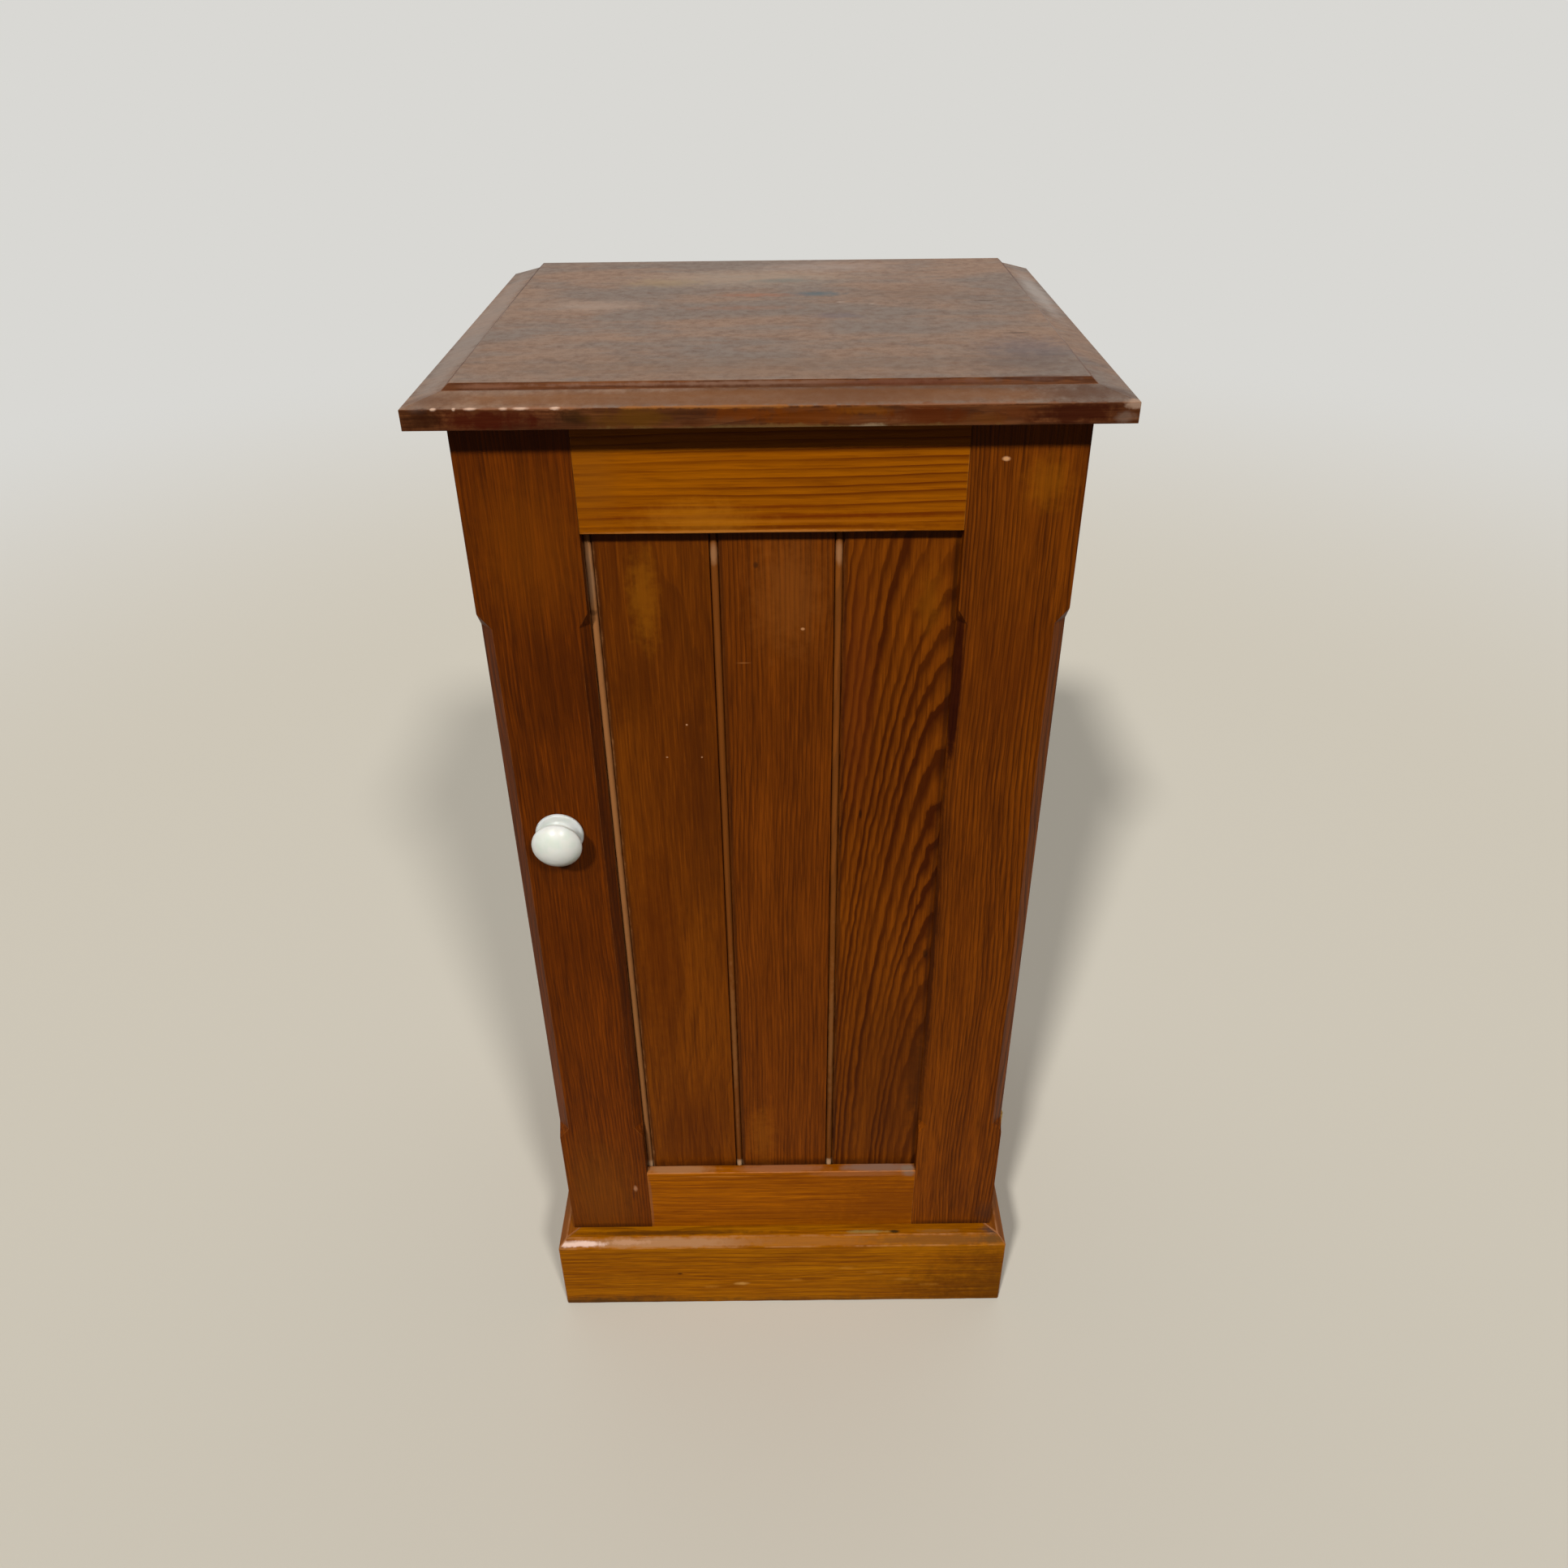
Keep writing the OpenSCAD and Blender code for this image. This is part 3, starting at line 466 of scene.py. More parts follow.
top_marks = [
    # The step in front, paler along its upper part, with painted shade and dirt
    # in its inner corner and at the back of the bevel
    mark((0.0, step_y - 0.0004, field_z - 0.001), (0.178, 0.0022, 0.0016), (124, 92, 74), 0.8, 1.2, 0.8),
    mark((0.01, step_y - 0.0006, field_z - 0.0034), (0.178, 0.003, 0.0014), (82, 50, 32), 0.8, 1.2, 0.8),
    mark((0.065, step_y - 0.004, arris_z + 0.0036), (0.2, 0.009, 0.006), (80, 50, 32), 0.62, 0.9, 0.8),
    mark((-0.15, step_y, field_z - 0.002), (0.022, 0.0022, 0.003), (118, 80, 60), 0.5, 1.2, 0.7),
    mark((0.07, step_y, field_z - 0.0018), (0.06, 0.0022, 0.0034), (86, 44, 26), 0.7, 1.2, 0.7),
    mark((0.142, step_y + 0.002, field_z - 0.001), (0.03, 0.004, 0.0034), (66, 40, 30), 0.6, 1.4, 0.8),
    # The side bevels and side steps, pale with a painted sheen
    mark((-0.1853, 0.0, field_z - 0.0056), (0.012, 0.23, 0.008), (142, 126, 114), 0.45, 0.8, 0.5),
    mark((0.1853, 0.08, field_z - 0.0056), (0.012, 0.11, 0.008), (172, 160, 150), 0.5, 0.9),
    mark((step_x, 0.0, field_z - 0.0018), (0.003, 0.15, 0.004), (152, 128, 112), 0.75, 1.0, 0.7),
    mark((-step_x, 0.0, field_z - 0.0018), (0.003, 0.15, 0.004), (136, 114, 98), 0.7, 1.0, 0.7),
    # The bevel in front, redder and darker, with less of the field's painted sheen
    mark((0.0, front_y + 0.009, arris_z + 0.002), (0.23, 0.0115, 0.008), (112, 68, 32), 0.68, 0.5, 0.5),
    mark((0.045, front_y + 0.01, arris_z + 0.002), (0.06, 0.011, 0.008), (92, 54, 28), 0.4, 1.0, 0.8),
    mark((0.17, front_y + 0.01, arris_z + 0.002), (0.044, 0.012, 0.008), (74, 50, 38), 0.6, 1.0, 0.8),
    mark((-0.18, front_y + 0.01, arris_z + 0.002), (0.026, 0.012, 0.008), (86, 56, 38), 0.5, 1.0, 0.8),
    # The field
    on_field(-0.02, 0.115, 0.11, 0.04, (164, 142, 120), 0.45, 1.2),
    on_field(0.04, 0.152, 0.08, 0.026, (158, 140, 128), 0.4, 1.2),
    on_field(-0.115, 0.03, 0.05, 0.022, (166, 140, 120), 0.45, 1.2),
    on_field(0.032, 0.06, 0.028, 0.012, (70, 84, 88), 0.8, 1.6),
    on_field(0.008, 0.104, 0.03, 0.01, (84, 92, 88), 0.5, 1.4),
    on_field(-0.008, 0.058, 0.04, 0.008, (150, 92, 62), 0.5, 1.4),
    on_field(-0.075, 0.1, 0.04, 0.02, (142, 116, 78), 0.45, 1.4),
    on_field(-0.02, 0.02, 0.06, 0.01, (136, 92, 66), 0.4, 1.6),
    on_field(0.042, -0.005, 0.024, 0.014, (88, 78, 86), 0.4, 1.2),
    on_field(0.15, -0.09, 0.04, 0.04, (90, 82, 86), 0.5, 1.2),
    on_field(0.1, 0.06, 0.06, 0.034, (104, 76, 56), 0.4, 1.4),
    on_field(0.046, 0.034, 0.004, 0.0018, (176, 160, 146), 0.5, 0.9, 0.8),
    on_field(0.067, 0.028, 0.003, 0.002, (170, 152, 136), 0.5, 0.9, 0.8),
    on_field(0.09, 0.027, 0.009, 0.0016, (70, 50, 38), 0.7, 1.2, 0.7),
    on_field(0.088, -0.003, 0.007, 0.0016, (76, 56, 42), 0.6, 1.2, 0.7),
    on_field(0.142, 0.034, 0.012, 0.0015, (66, 44, 34), 0.7, 1.2, 0.7),
    on_field(0.148, -0.0542, 0.01, 0.0014, (48, 28, 20), 0.9, 0.8, 0.6),
    on_field(0.0, -0.125, 0.23, 0.034, (112, 84, 62), 0.35, 1.2),
    on_field(0.14, -0.12, 0.05, 0.04, (88, 70, 62), 0.4, 1.2),
    # The front edge, mottled red and ochre, with a dusty lower lip
    on_edge(-0.15, edge_z, 0.045, 0.008, (58, 10, 0), 0.85, 1.6, 0.7),
    on_edge(-0.104, edge_z, 0.012, 0.006, (34, 18, 2), 0.7, 1.6, 0.8),
    on_edge(-0.182, edge_z, 0.016, 0.008, (40, 16, 2), 0.75, 1.6, 0.7),
    on_edge(-0.07, edge_z, 0.032, 0.008, (92, 56, 4), 0.6, 1.2, 0.8),
    on_edge(-0.015, edge_z + 0.002, 0.03, 0.005, (104, 46, 0), 0.6, 1.8, 0.8),
    on_edge(0.024, edge_z, 0.045, 0.008, (102, 46, 0), 0.65, 1.6, 0.8),
    on_edge(0.05, edge_z + 0.003, 0.02, 0.004, (122, 66, 8), 0.5, 1.8, 0.8),
    on_edge(-0.04, edge_z - 0.003, 0.016, 0.004, (58, 22, 2), 0.5, 1.8, 0.8),
    on_edge(0.115, edge_z - 0.002, 0.018, 0.004, (96, 50, 8), 0.5, 1.8, 0.8),
    on_edge(0.085, edge_z, 0.026, 0.008, (78, 28, 0), 0.7, 1.8, 0.7),
    on_edge(0.132, edge_z + 0.001, 0.016, 0.006, (92, 44, 14), 0.6, 1.8, 0.7),
    on_edge(0.162, edge_z, 0.036, 0.008, (48, 10, 0), 0.85, 1.6, 0.7),
    on_edge(0.01, top_low.z, 0.12, 0.0024, (104, 80, 44), 0.6, 2.0, 0.8),
    on_edge(0.052, top_low.z, 0.016, 0.0026, (140, 118, 92), 0.6, 2.0, 0.8),
    on_edge(0.188, edge_z - 0.002, 0.008, 0.004, (116, 92, 76), 0.6, 1.6, 0.7),
    # Its arris, worn pale and with a painted highlight, peach at the left and ochre along the middle
    on_arris(-0.13, arris_z, 0.05, 0.0012, (140, 92, 62), 0.6, 2.2, 0.7),
    on_arris(-0.03, arris_z, 0.075, 0.0014, (148, 90, 36), 0.7, 1.6, 0.6),
    on_arris(0.1, arris_z, 0.08, 0.0012, (128, 78, 46), 0.55, 2.2, 0.7),
    mark((0.192, front_y + 0.002, arris_z - 0.001), (0.006, 0.005, 0.004), (160, 130, 108), 0.8, 1.8, 0.6),
]
# Short pale dashes on the left of the arris, worn and with a painted highlight
for x, long in ((-0.177, 0.0022), (-0.166, 0.0014), (-0.157, 0.0045), (-0.14, 0.003), (-0.131, 0.005),
                (-0.113, 0.003)):
    top_marks.append(on_arris(x, arris_z, long, 0.0012, (214, 178, 152), 0.8, 1.2, 0.7))
# The top's bloom is dust and a painted sheen on the field
top_timber = timber("old_top_varnish", "X", (0.67, 0.09), ((100, 58, 30), (72, 36, 14), (46, 20, 8)),
                    lean=(0.1, 0.02), ring=0.0052, lines=0.6, sway=0.004, jag=0.0016, seed=4.0,
                    blotch=0.6, fibre=0.8, marks=top_marks, worn=(132, 88, 58), worn_amount=0.4,
                    bloom=((137, 108, 87), (120, 104, 92), 0.84), gloss=0.44, shine=0.06)
top_piece = eased_board("top_board", top_timber, radius=0.0009, steps=3, cuts=("X", 0.007), wear=0.0005)
print("top board:", len(top_piece.data.polygons), "faces")

# %% [markdown]
# ## The door frame
#
# Two upright stiles run the full height and two rails are wedged between
# them. The joiner put dark reddish boards upright and honey-coloured boards
# across, so each has its own tones. The top rail is sawn on the quarter and
# shows ruler-straight lines, closest together along its lower edge.

# %% Door frame
random.seed(12)
# Dark grime, also used as painted shade under the top rail and along each bead's quirk
grime_and_shade = (36, 15, 4)
face_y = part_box("door_left_stile")[0].y
on_door = marks_on(face_y, 0.02)
on_foot = marks_on(face_y, 0.004)
stile_marks = [
    on_door(-0.143, 0.476, 0.034, 0.04, (56, 24, 4), 0.35, 0.5),
    on_door(-0.113, 0.43, 0.006, 0.3, (46, 18, 6), 0.5, 0.7),
    on_door(-0.136, 0.61, 0.03, 0.06, (60, 22, 0), 0.4, 0.8),
    on_door(-0.145, 0.4, 0.05, 0.05, (66, 24, 0), 0.35, 0.8),
    on_door(-0.14, 0.7, 0.05, 0.07, (120, 60, 4), 0.4, 0.6),
    on_door(-0.15, 0.13, 0.05, 0.1, (114, 62, 8), 0.4, 0.6),
    on_door(-0.1205, 0.137, 0.0022, 0.006, (160, 110, 76), 0.8, 1.4, 0.7),
    on_door(-0.1225, 0.129, 0.0016, 0.01, (60, 28, 12), 0.7, 1.2, 0.7),
    on_door(-0.143, 0.088, 0.07, 0.006, grime_and_shade, 0.6, 0.8),
]
inner_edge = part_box("door_right_stile")[0].x
right_stile_marks = [
    # Painted shade down the inner chamfer
    mark((inner_edge + 0.0022, face_y + 0.0038, 0.602), (0.0052, 0.0058, 0.066), (34, 2, 0), 0.9, 0.4, 0.4),
    mark((inner_edge + 0.001, face_y + 0.0054, 0.38), (0.0034, 0.004, 0.22), (40, 10, 0), 0.75, 0.9, 0.7),
    on_door(0.155, 0.735, 0.02, 0.022, (140, 78, 6), 0.45, 1.2),
    on_door(0.143, 0.62, 0.05, 0.07, (84, 34, 2), 0.35, 0.9),
    on_door(0.1301, 0.7488, 0.003, 0.0018, (206, 150, 100), 0.9, 0.6, 0.6),
    on_door(0.143, 0.088, 0.07, 0.006, grime_and_shade, 0.6, 0.8),
    on_door(0.172, 0.1, 0.012, 0.02, (52, 30, 20), 0.6, 1.0),
]
rail_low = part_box("door_top_rail")[0].z
rail_marks = [
    on_door(0.0, rail_low + 0.01, 0.16, 0.0026, (100, 34, 0), 0.65, 0.8, 0.8),
    on_door(0.0, rail_low + 0.0035, 0.16, 0.0018, (84, 28, 0), 0.7, 0.7, 0.8),
    on_door(-0.03, rail_low + 0.0155, 0.11, 0.0016, (104, 38, 0), 0.55, 0.8, 0.8),
    on_door(0.01, rail_low + 0.0068, 0.12, 0.0014, (160, 90, 16), 0.5, 0.8, 0.8),
    mark((-0.02, face_y, rail_low + 0.0008), (0.12, 0.01, 0.0016), (178, 112, 50), 0.7, 0.8, 0.7),
    on_door(-0.1, 0.74, 0.022, 0.04, (128, 72, 14), 0.4, 0.7),
    on_door(-0.04, 0.716, 0.05, 0.014, (170, 104, 20), 0.45, 1.2),
]
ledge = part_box("door_bottom_rail")[1].z
foot_marks = [
    # Painted highlights with some wear along the top of the foot rail and its upper arris, which face up to
    # the lamps
    mark((-0.085, face_y + 0.004, ledge), (0.04, 0.0065, 0.0012), (160, 112, 72), 0.85, 0.7, 0.6),
    mark((0.0, face_y + 0.004, ledge), (0.05, 0.0065, 0.0012), (150, 96, 62), 0.7, 0.7, 0.6),
    mark((0.08, face_y + 0.004, ledge), (0.04, 0.0065, 0.0012), (128, 98, 80), 0.85, 0.7, 0.6),
    mark((0.104, face_y + 0.002, ledge - 0.002), (0.008, 0.0065, 0.006), (126, 104, 86), 0.85, 0.7, 0.6),
    on_foot(0.065, ledge - 0.003, 0.055, 0.0042, (146, 86, 44), 0.75, 0.7, 0.6),
    on_foot(-0.05, ledge - 0.0045, 0.04, 0.0012, (172, 104, 34), 0.6, 0.9, 0.7),
    on_foot(-0.1085, 0.12, 0.0014, 0.04, (126, 74, 40), 0.8, 0.6, 0.6),
    on_foot(0.09, 0.108, 0.08, 0.06, (104, 48, 0), 0.6, 0.8),
    on_foot(0.0, 0.096, 0.12, 0.02, (108, 52, 0), 0.45, 0.8),
]
left_stile_timber = timber("left_stile_varnish", "Z", (-0.42, -0.25),
                           ((108, 48, 2), (74, 30, 2), (48, 17, 2)),
                           lean=(0.004, 0.002), ring=0.0024, lines=0.55, seed=11.0, blotch=0.5,
                           fibre=0.65, marks=stile_marks, worn=(140, 80, 32))
right_stile_timber = timber("right_stile_varnish", "Z", (0.45, -0.22),
                            ((120, 58, 4), (84, 36, 3), (46, 16, 1)),
                            lean=(-0.003, 0.002), ring=0.0026, lines=0.74, seed=23.0, blotch=0.45,
                            fibre=0.6, marks=right_stile_marks, worn=(140, 80, 32))
head_rail_timber = timber("head_rail_varnish", "X", (0.3, -0.6),
                          ((150, 82, 0), (120, 58, 0), (82, 28, 0)),
                          lean=(0.0, 0.002), ring=0.0036, lines=0.8, sway=0.0012, jag=0.0002, seed=31.0,
                          blotch=0.3, fibre=0.4, marks=rail_marks, worn=(170, 104, 36))
foot_rail_timber = timber("foot_rail_varnish", "X", (0.9, -0.5),
                          ((154, 84, 0), (122, 60, 0), (94, 38, 0)),
                          lean=(0.01, 0.002), ring=0.005, lines=0.5, sway=0.002, seed=37.0,
                          blotch=0.6, fibre=0.65, worn=(176, 108, 56), marks=foot_marks)
for node, material, axis in (("door_left_stile", left_stile_timber, "Z"),
                             ("door_right_stile", right_stile_timber, "Z"),
                             ("door_top_rail", head_rail_timber, "X"),
                             ("door_bottom_rail", foot_rail_timber, "X")):
    piece = eased_board(node, material, radius=0.0006, steps=3, cuts=(axis, 0.011), wear=0.0003)
    print(node, len(piece.data.polygons), "faces")

# %% [markdown]
# ## The three beaded boards
#
# The panel is three narrow boards with a round bead worked on one edge of
# each. The beads are a paler tan colour. The first board
# is plain, the second has fine straight lines, and the third was sawn flat
# from near the outside of the tree, so its lines sweep up to the right.

# %% Panel boards
random.seed(13)
PANEL_BOARDS = 3
panel_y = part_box("door_board_1")[0].y
panel_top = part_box("door_top_rail")[0].z
panel_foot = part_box("door_bottom_rail")[1].z
half_panel = -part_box("door_left_stile")[1].x
board_starts = [-half_panel + k * 2 * half_panel / PANEL_BOARDS for k in range(PANEL_BOARDS)]
BEAD_MID = 0.0025
on_panel = marks_on(panel_y, 0.02)
on_bead = marks_on(panel_y, 0.006)


def board_marks(start, bead_tone, bead_amount):
    """A tan bead, pale spots at its two ends, grime along the foot rail, and painted shade with grime under
    the top rail and along the quirk.
    """
    bead_x = start + BEAD_MID
    return [
        on_panel(0.0, panel_foot, 0.25, 0.01, grime_and_shade, 0.7, 0.8),
        on_panel(0.0, panel_top, 0.25, 0.01, grime_and_shade, 0.5, 0.8),
        on_panel(start + 0.0066, 0.43, 0.0018, ENDLESS, grime_and_shade, 0.5, 0.6, 0.8),
        on_bead(bead_x, 0.43, 0.0042, ENDLESS, bead_tone, bead_amount, 0.9, 0.6),
        on_bead(bead_x, 0.3, 0.003, 0.09, (140, 92, 48), 0.4, 2.4, 0.7),
        on_bead(bead_x, panel_foot + 0.002, 0.004, 0.006, (186, 150, 112), 0.85, 0.6, 0.6),
        on_bead(bead_x, panel_top - 0.016, 0.0034, 0.01, (156, 112, 74), 0.6, 0.8, 0.7),
    ]


board_1_marks = board_marks(board_starts[0], (146, 96, 54), 0.9) + [
    on_bead(board_starts[0] + 0.002, 0.675, 0.0036, 0.024, (140, 106, 76), 0.6, 1.2, 0.7),
    on_bead(board_starts[0] + 0.002, 0.6545, 0.0044, 0.0026, (62, 34, 16), 0.6, 0.8, 0.6),
    on_panel(-0.077, 0.662, 0.013, 0.046, (134, 76, 8), 0.6, 1.2),
    on_panel(-0.046, 0.5, 0.02, 0.16, (66, 27, 3), 0.35, 0.8),
    on_panel(-0.088, 0.6, 0.022, 0.034, (66, 26, 0), 0.4, 1.0),
    on_panel(-0.086, 0.38, 0.028, 0.14, (70, 24, 0), 0.45, 0.8),
    on_panel(-0.07, 0.2, 0.04, 0.08, (72, 26, 0), 0.35, 0.8),
    on_panel(-0.0559, 0.5758, 0.0009, 0.0009, (190, 140, 100), 0.8, 0.4, 0.7),
    on_panel(-0.0698, 0.5517, 0.001, 0.0008, (180, 130, 90), 0.7, 0.4, 0.7),
    on_panel(-0.0473, 0.5514, 0.0008, 0.0009, (180, 130, 90), 0.7, 0.4, 0.7),
]
board_2_marks = board_marks(board_starts[1], (114, 64, 22), 0.6) + [
    on_panel(-0.0098, 0.684, 0.002, 0.0026, (36, 14, 4), 0.8, 0.4, 0.6),
    on_panel(0.0178, 0.6422, 0.0016, 0.0012, (196, 140, 92), 0.9, 0.4, 0.6),
    on_panel(-0.019, 0.6195, 0.006, 0.0007, (140, 84, 40), 0.6, 0.6, 0.7),
    on_panel(0.01, 0.665, 0.034, 0.06, (134, 74, 24), 0.38, 1.0),
    on_panel(-0.015, 0.19, 0.016, 0.05, (140, 76, 10), 0.35, 1.2),
]
board_3_marks = board_marks(board_starts[2], (120, 68, 24), 0.65) + [
    # Painted shade along the corner against the right stile
    on_panel(0.108, 0.43, 0.002, ENDLESS, (40, 14, 2), 0.5, 0.6, 0.8),
    on_panel(0.093, 0.66, 0.012, 0.03, (126, 70, 6), 0.4, 1.2),
    on_panel(0.052, 0.6, 0.018, 0.13, (98, 42, 8), 0.5, 0.8),
    on_panel(0.1062, 0.382, 0.0024, 0.006, (34, 12, 2), 0.8, 0.6, 0.7),
    on_panel(0.105, 0.255, 0.01, 0.08, (40, 15, 2), 0.6, 0.9),
    on_panel(0.0562, 0.5054, 0.0014, 0.005, (36, 12, 2), 0.8, 0.6, 0.6),
    on_panel(0.082, 0.23, 0.06, 0.2, (66, 28, 2), 0.4, 0.6),
]
board_1_timber = timber("board_1_varnish", "Z", (-0.3, 0.2),
                        ((114, 56, 4), (80, 34, 2), (54, 20, 2)),
                        ring=0.006, lines=0.3, sway=0.006, seed=41.0, blotch=0.7, fibre=0.5,
                        marks=board_1_marks)
board_2_timber = timber("board_2_varnish", "Z", (0.5, -0.2),
                        ((114, 54, 5), (82, 35, 2), (52, 19, 2)),
                        lean=(0.003, 0.0), ring=0.0028, lines=0.6, seed=47.0, blotch=0.45, fibre=0.55,
                        marks=board_2_marks)
board_3_timber = timber("board_3_varnish", "Z", (0.12, -0.131),
                        ((122, 60, 4), (88, 38, 2), (56, 18, 0)),
                        lean=(0.0, 0.1), ring=0.0036, lines=1.0, sway=0.0016, jag=0.0013, seed=53.0,
                        blotch=0.4, fibre=0.5, marks=board_3_marks, shade=BROAD_SHADE)
for number, material in enumerate((board_1_timber, board_2_timber, board_3_timber), start=1):
    eased_board(f"door_board_{number}", material, radius=0.0002)

# %% [markdown]
# ## Case, plinth and inside
#
# The sides match the door. The plinth is honey-coloured like the rails and
# carries grime along the floor. Inside and underneath, nobody spent varnish:
# the boards there are bare pine, browned by age.

# %% Case and plinth
random.seed(14)
side_timber = {
    side: timber(f"{side}_side_varnish", "Z", (0.0, 0.3 * sign),
                 ((116, 58, 8), (84, 38, 4), (50, 19, 3)),
                 lean=(0.0, 0.05 * sign), ring=0.0034, lines=0.8, seed=60.0 + sign, blotch=0.45,
                 fibre=0.5, worn=(144, 84, 38))
    for side, sign in (("left", -1), ("right", 1))
}
for side, material in side_timber.items():
    eased_board(f"{side}_side", material, radius=0.0006)

plinth_low, plinth_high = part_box("plinth_front")
plinth_face, ledge_z = plinth_low.y, plinth_high.z
bevel_y, bevel_z = plinth_face + 0.00325, ledge_z - 0.00325
ledge_y = plinth_face + 0.0105
on_plinth = marks_on(plinth_face, 0.03)
on_bevel = marks_on(bevel_y, 0.006)
on_board = marks_on(plinth_face, 0.02)
plinth_marks = [
    on_plinth(-0.15, 0.0, 0.12, 0.014, (60, 40, 18), 0.8, 0.9),
    on_plinth(0.05, 0.0, 0.25, 0.008, (80, 48, 14), 0.6, 0.9),
    on_plinth(0.12, 0.02, 0.06, 0.026, (96, 50, 0), 0.45, 1.0),
    on_plinth(0.195, 0.01, 0.11, 0.1, (76, 38, 0), 0.7, 0.9),
    on_board(-0.0882, 0.0406, 0.003, 0.0016, (60, 26, 4), 0.8, 0.6, 0.6),
    on_board(-0.035, 0.026, 0.009, 0.003, (190, 136, 66), 0.7, 1.2, 0.8),
    # The bevel, with a painted reflection of the lamps: pale at its left end, peach along the middle and
    # darker to the right
    on_bevel(-0.1, bevel_z, 0.11, 0.005, (150, 108, 72), 0.85, 1.0, 0.6),
    on_bevel(0.015, bevel_z, 0.08, 0.005, (136, 82, 24), 0.75, 1.0, 0.6),
    on_bevel(0.13, bevel_z, 0.08, 0.005, (108, 64, 14), 0.8, 1.0, 0.6),
    on_bevel(0.182, bevel_z, 0.03, 0.005, (84, 54, 18), 0.7, 1.0, 0.8),
    mark((-0.172, bevel_y, bevel_z - 0.0005), (0.028, 0.0034, 0.003), (214, 180, 162), 0.9, 1.3, 0.6),
    mark((-0.18, bevel_y, bevel_z + 0.0016), (0.012, 0.0026, 0.0018), (170, 132, 110), 0.7, 1.6, 0.6),
    mark((-0.128, bevel_y, bevel_z + 0.0006), (0.02, 0.003, 0.0024), (172, 128, 96), 0.6, 1.8, 0.6),
    # The ledge, with old dirt against the door
    mark((-0.09, ledge_y, ledge_z), (0.11, 0.003, 0.003), (64, 36, 12), 0.6, 1.0, 0.7),
    mark((0.074, ledge_y - 0.001, ledge_z), (0.026, 0.0022, 0.003), (140, 112, 58), 0.8, 1.2, 0.7),
    mark((0.0955, ledge_y - 0.001, ledge_z), (0.006, 0.0022, 0.003), (44, 32, 14), 0.9, 0.8, 0.7),
    mark((0.13, ledge_y - 0.001, ledge_z), (0.022, 0.0024, 0.003), (136, 86, 36), 0.7, 1.6, 0.7),
    mark((0.178, ledge_y, ledge_z), (0.014, 0.006, 0.006), (70, 52, 46), 0.8, 1.0, 0.8),
]
for x, z in ((-0.062, 0.022), (0.012, 0.03), (0.055, 0.046), (0.08, 0.04), (0.104, 0.03), (0.128, 0.022)):
    plinth_marks.append(on_board(x, z, 0.011, 0.003, (166, 106, 28), 0.5, 1.6))
plinth_timber = timber("plinth_varnish", "X", (0.5, -0.45),
                       ((156, 93, 2), (125, 65, 1), (90, 41, 1)),
                       lean=(0.01, 0.01), ring=0.005, lines=0.5, sway=0.005, jag=0.0012, seed=71.0,
                       blotch=0.7, fibre=0.65, marks=plinth_marks, worn=(160, 108, 62),
                       worn_amount=0.55, shine=0.03)
eased_board("plinth_front", plinth_timber, radius=0.0009, steps=3, cuts=("X", 0.007), wear=0.0005)
plinth_side_timber = timber("plinth_side_varnish", "Y", (0.5, -0.45),
                            ((136, 74, 6), (106, 50, 3), (78, 34, 2)),
                            ring=0.005, lines=0.5, seed=73.0, blotch=0.5, fibre=0.45,
                            worn=(160, 112, 76), shine=0.08)
for side in ("left", "right"):
    eased_board(f"plinth_{side}", plinth_side_timber, radius=0.0009, steps=3, cuts=("Y", 0.009),
                wear=0.0004)

# %% [markdown]
# ## Bare pine
#
# The shelf, the rails under the top and the glue blocks never saw varnish.
# The same recipe serves them with paler tones, a duller surface and softer
# lines, so one finish for each direction of the grain is enough. The back
# boards were thinly stained and the wedges show end grain, so both are darker.

# %% Bare boards
BARE = ((180, 136, 86), (156, 110, 64), (122, 76, 40))
bare_timber = {
    grain: timber(f"bare_pine_{grain.lower()}", grain, (0.35, 0.28), BARE, lean=(0.02, 0.06),
                  ring=0.0046, lines=0.6, seed=80.0 + turn, blotch=0.4, fibre=0.3, gloss=0.7, shine=0.2)
    for turn, grain in enumerate("XYZ")
}
back_timber = timber("back_boards", "Z", (0.05, 0.6), ((138, 96, 54), (110, 72, 38), (84, 50, 24)),
                     lean=(0.03, 0.03), ring=0.0048, lines=0.6, seed=90.0, blotch=0.5, gloss=0.66)
GRAIN_OF = {
    "bottom_board": "X", "shelf": "X", "shelf_bearer_left": "Y", "shelf_bearer_right": "Y",
    "front_top_rail": "X", "back_top_rail": "X", "top_glue_blocks": "Y", "plinth_batten": "X",
    "plinth_corner_blocks": "Z", "catch_block": "Z",
}
for node, grain in GRAIN_OF.items():
    eased_board(node, bare_timber[grain], radius=0.0005)
for node in ("back_board_1", "back_board_2", "back_board_3", "back_board_4", "plinth_back"):
    eased_board(node, back_timber, radius=0.0004)
wedge_timber = timber("wedge_end_grain", "X", (0.2, 0.2), ((100, 54, 18), (80, 40, 12), (56, 26, 8)),
                      seed=95.0)
eased_board("door_wedges", wedge_timber, radius=0.0001, steps=1)

# %% [markdown]
# ## Porcelain, brass, steel and iron
#
# Old metal is never one tone: its bloom is darker and duller than what
# fingers keep bright, and fine scratches spread its highlights. The glaze
# of the knob is smooth, and pools a little greener where it lay thick.

# %% Metal and glaze recipes


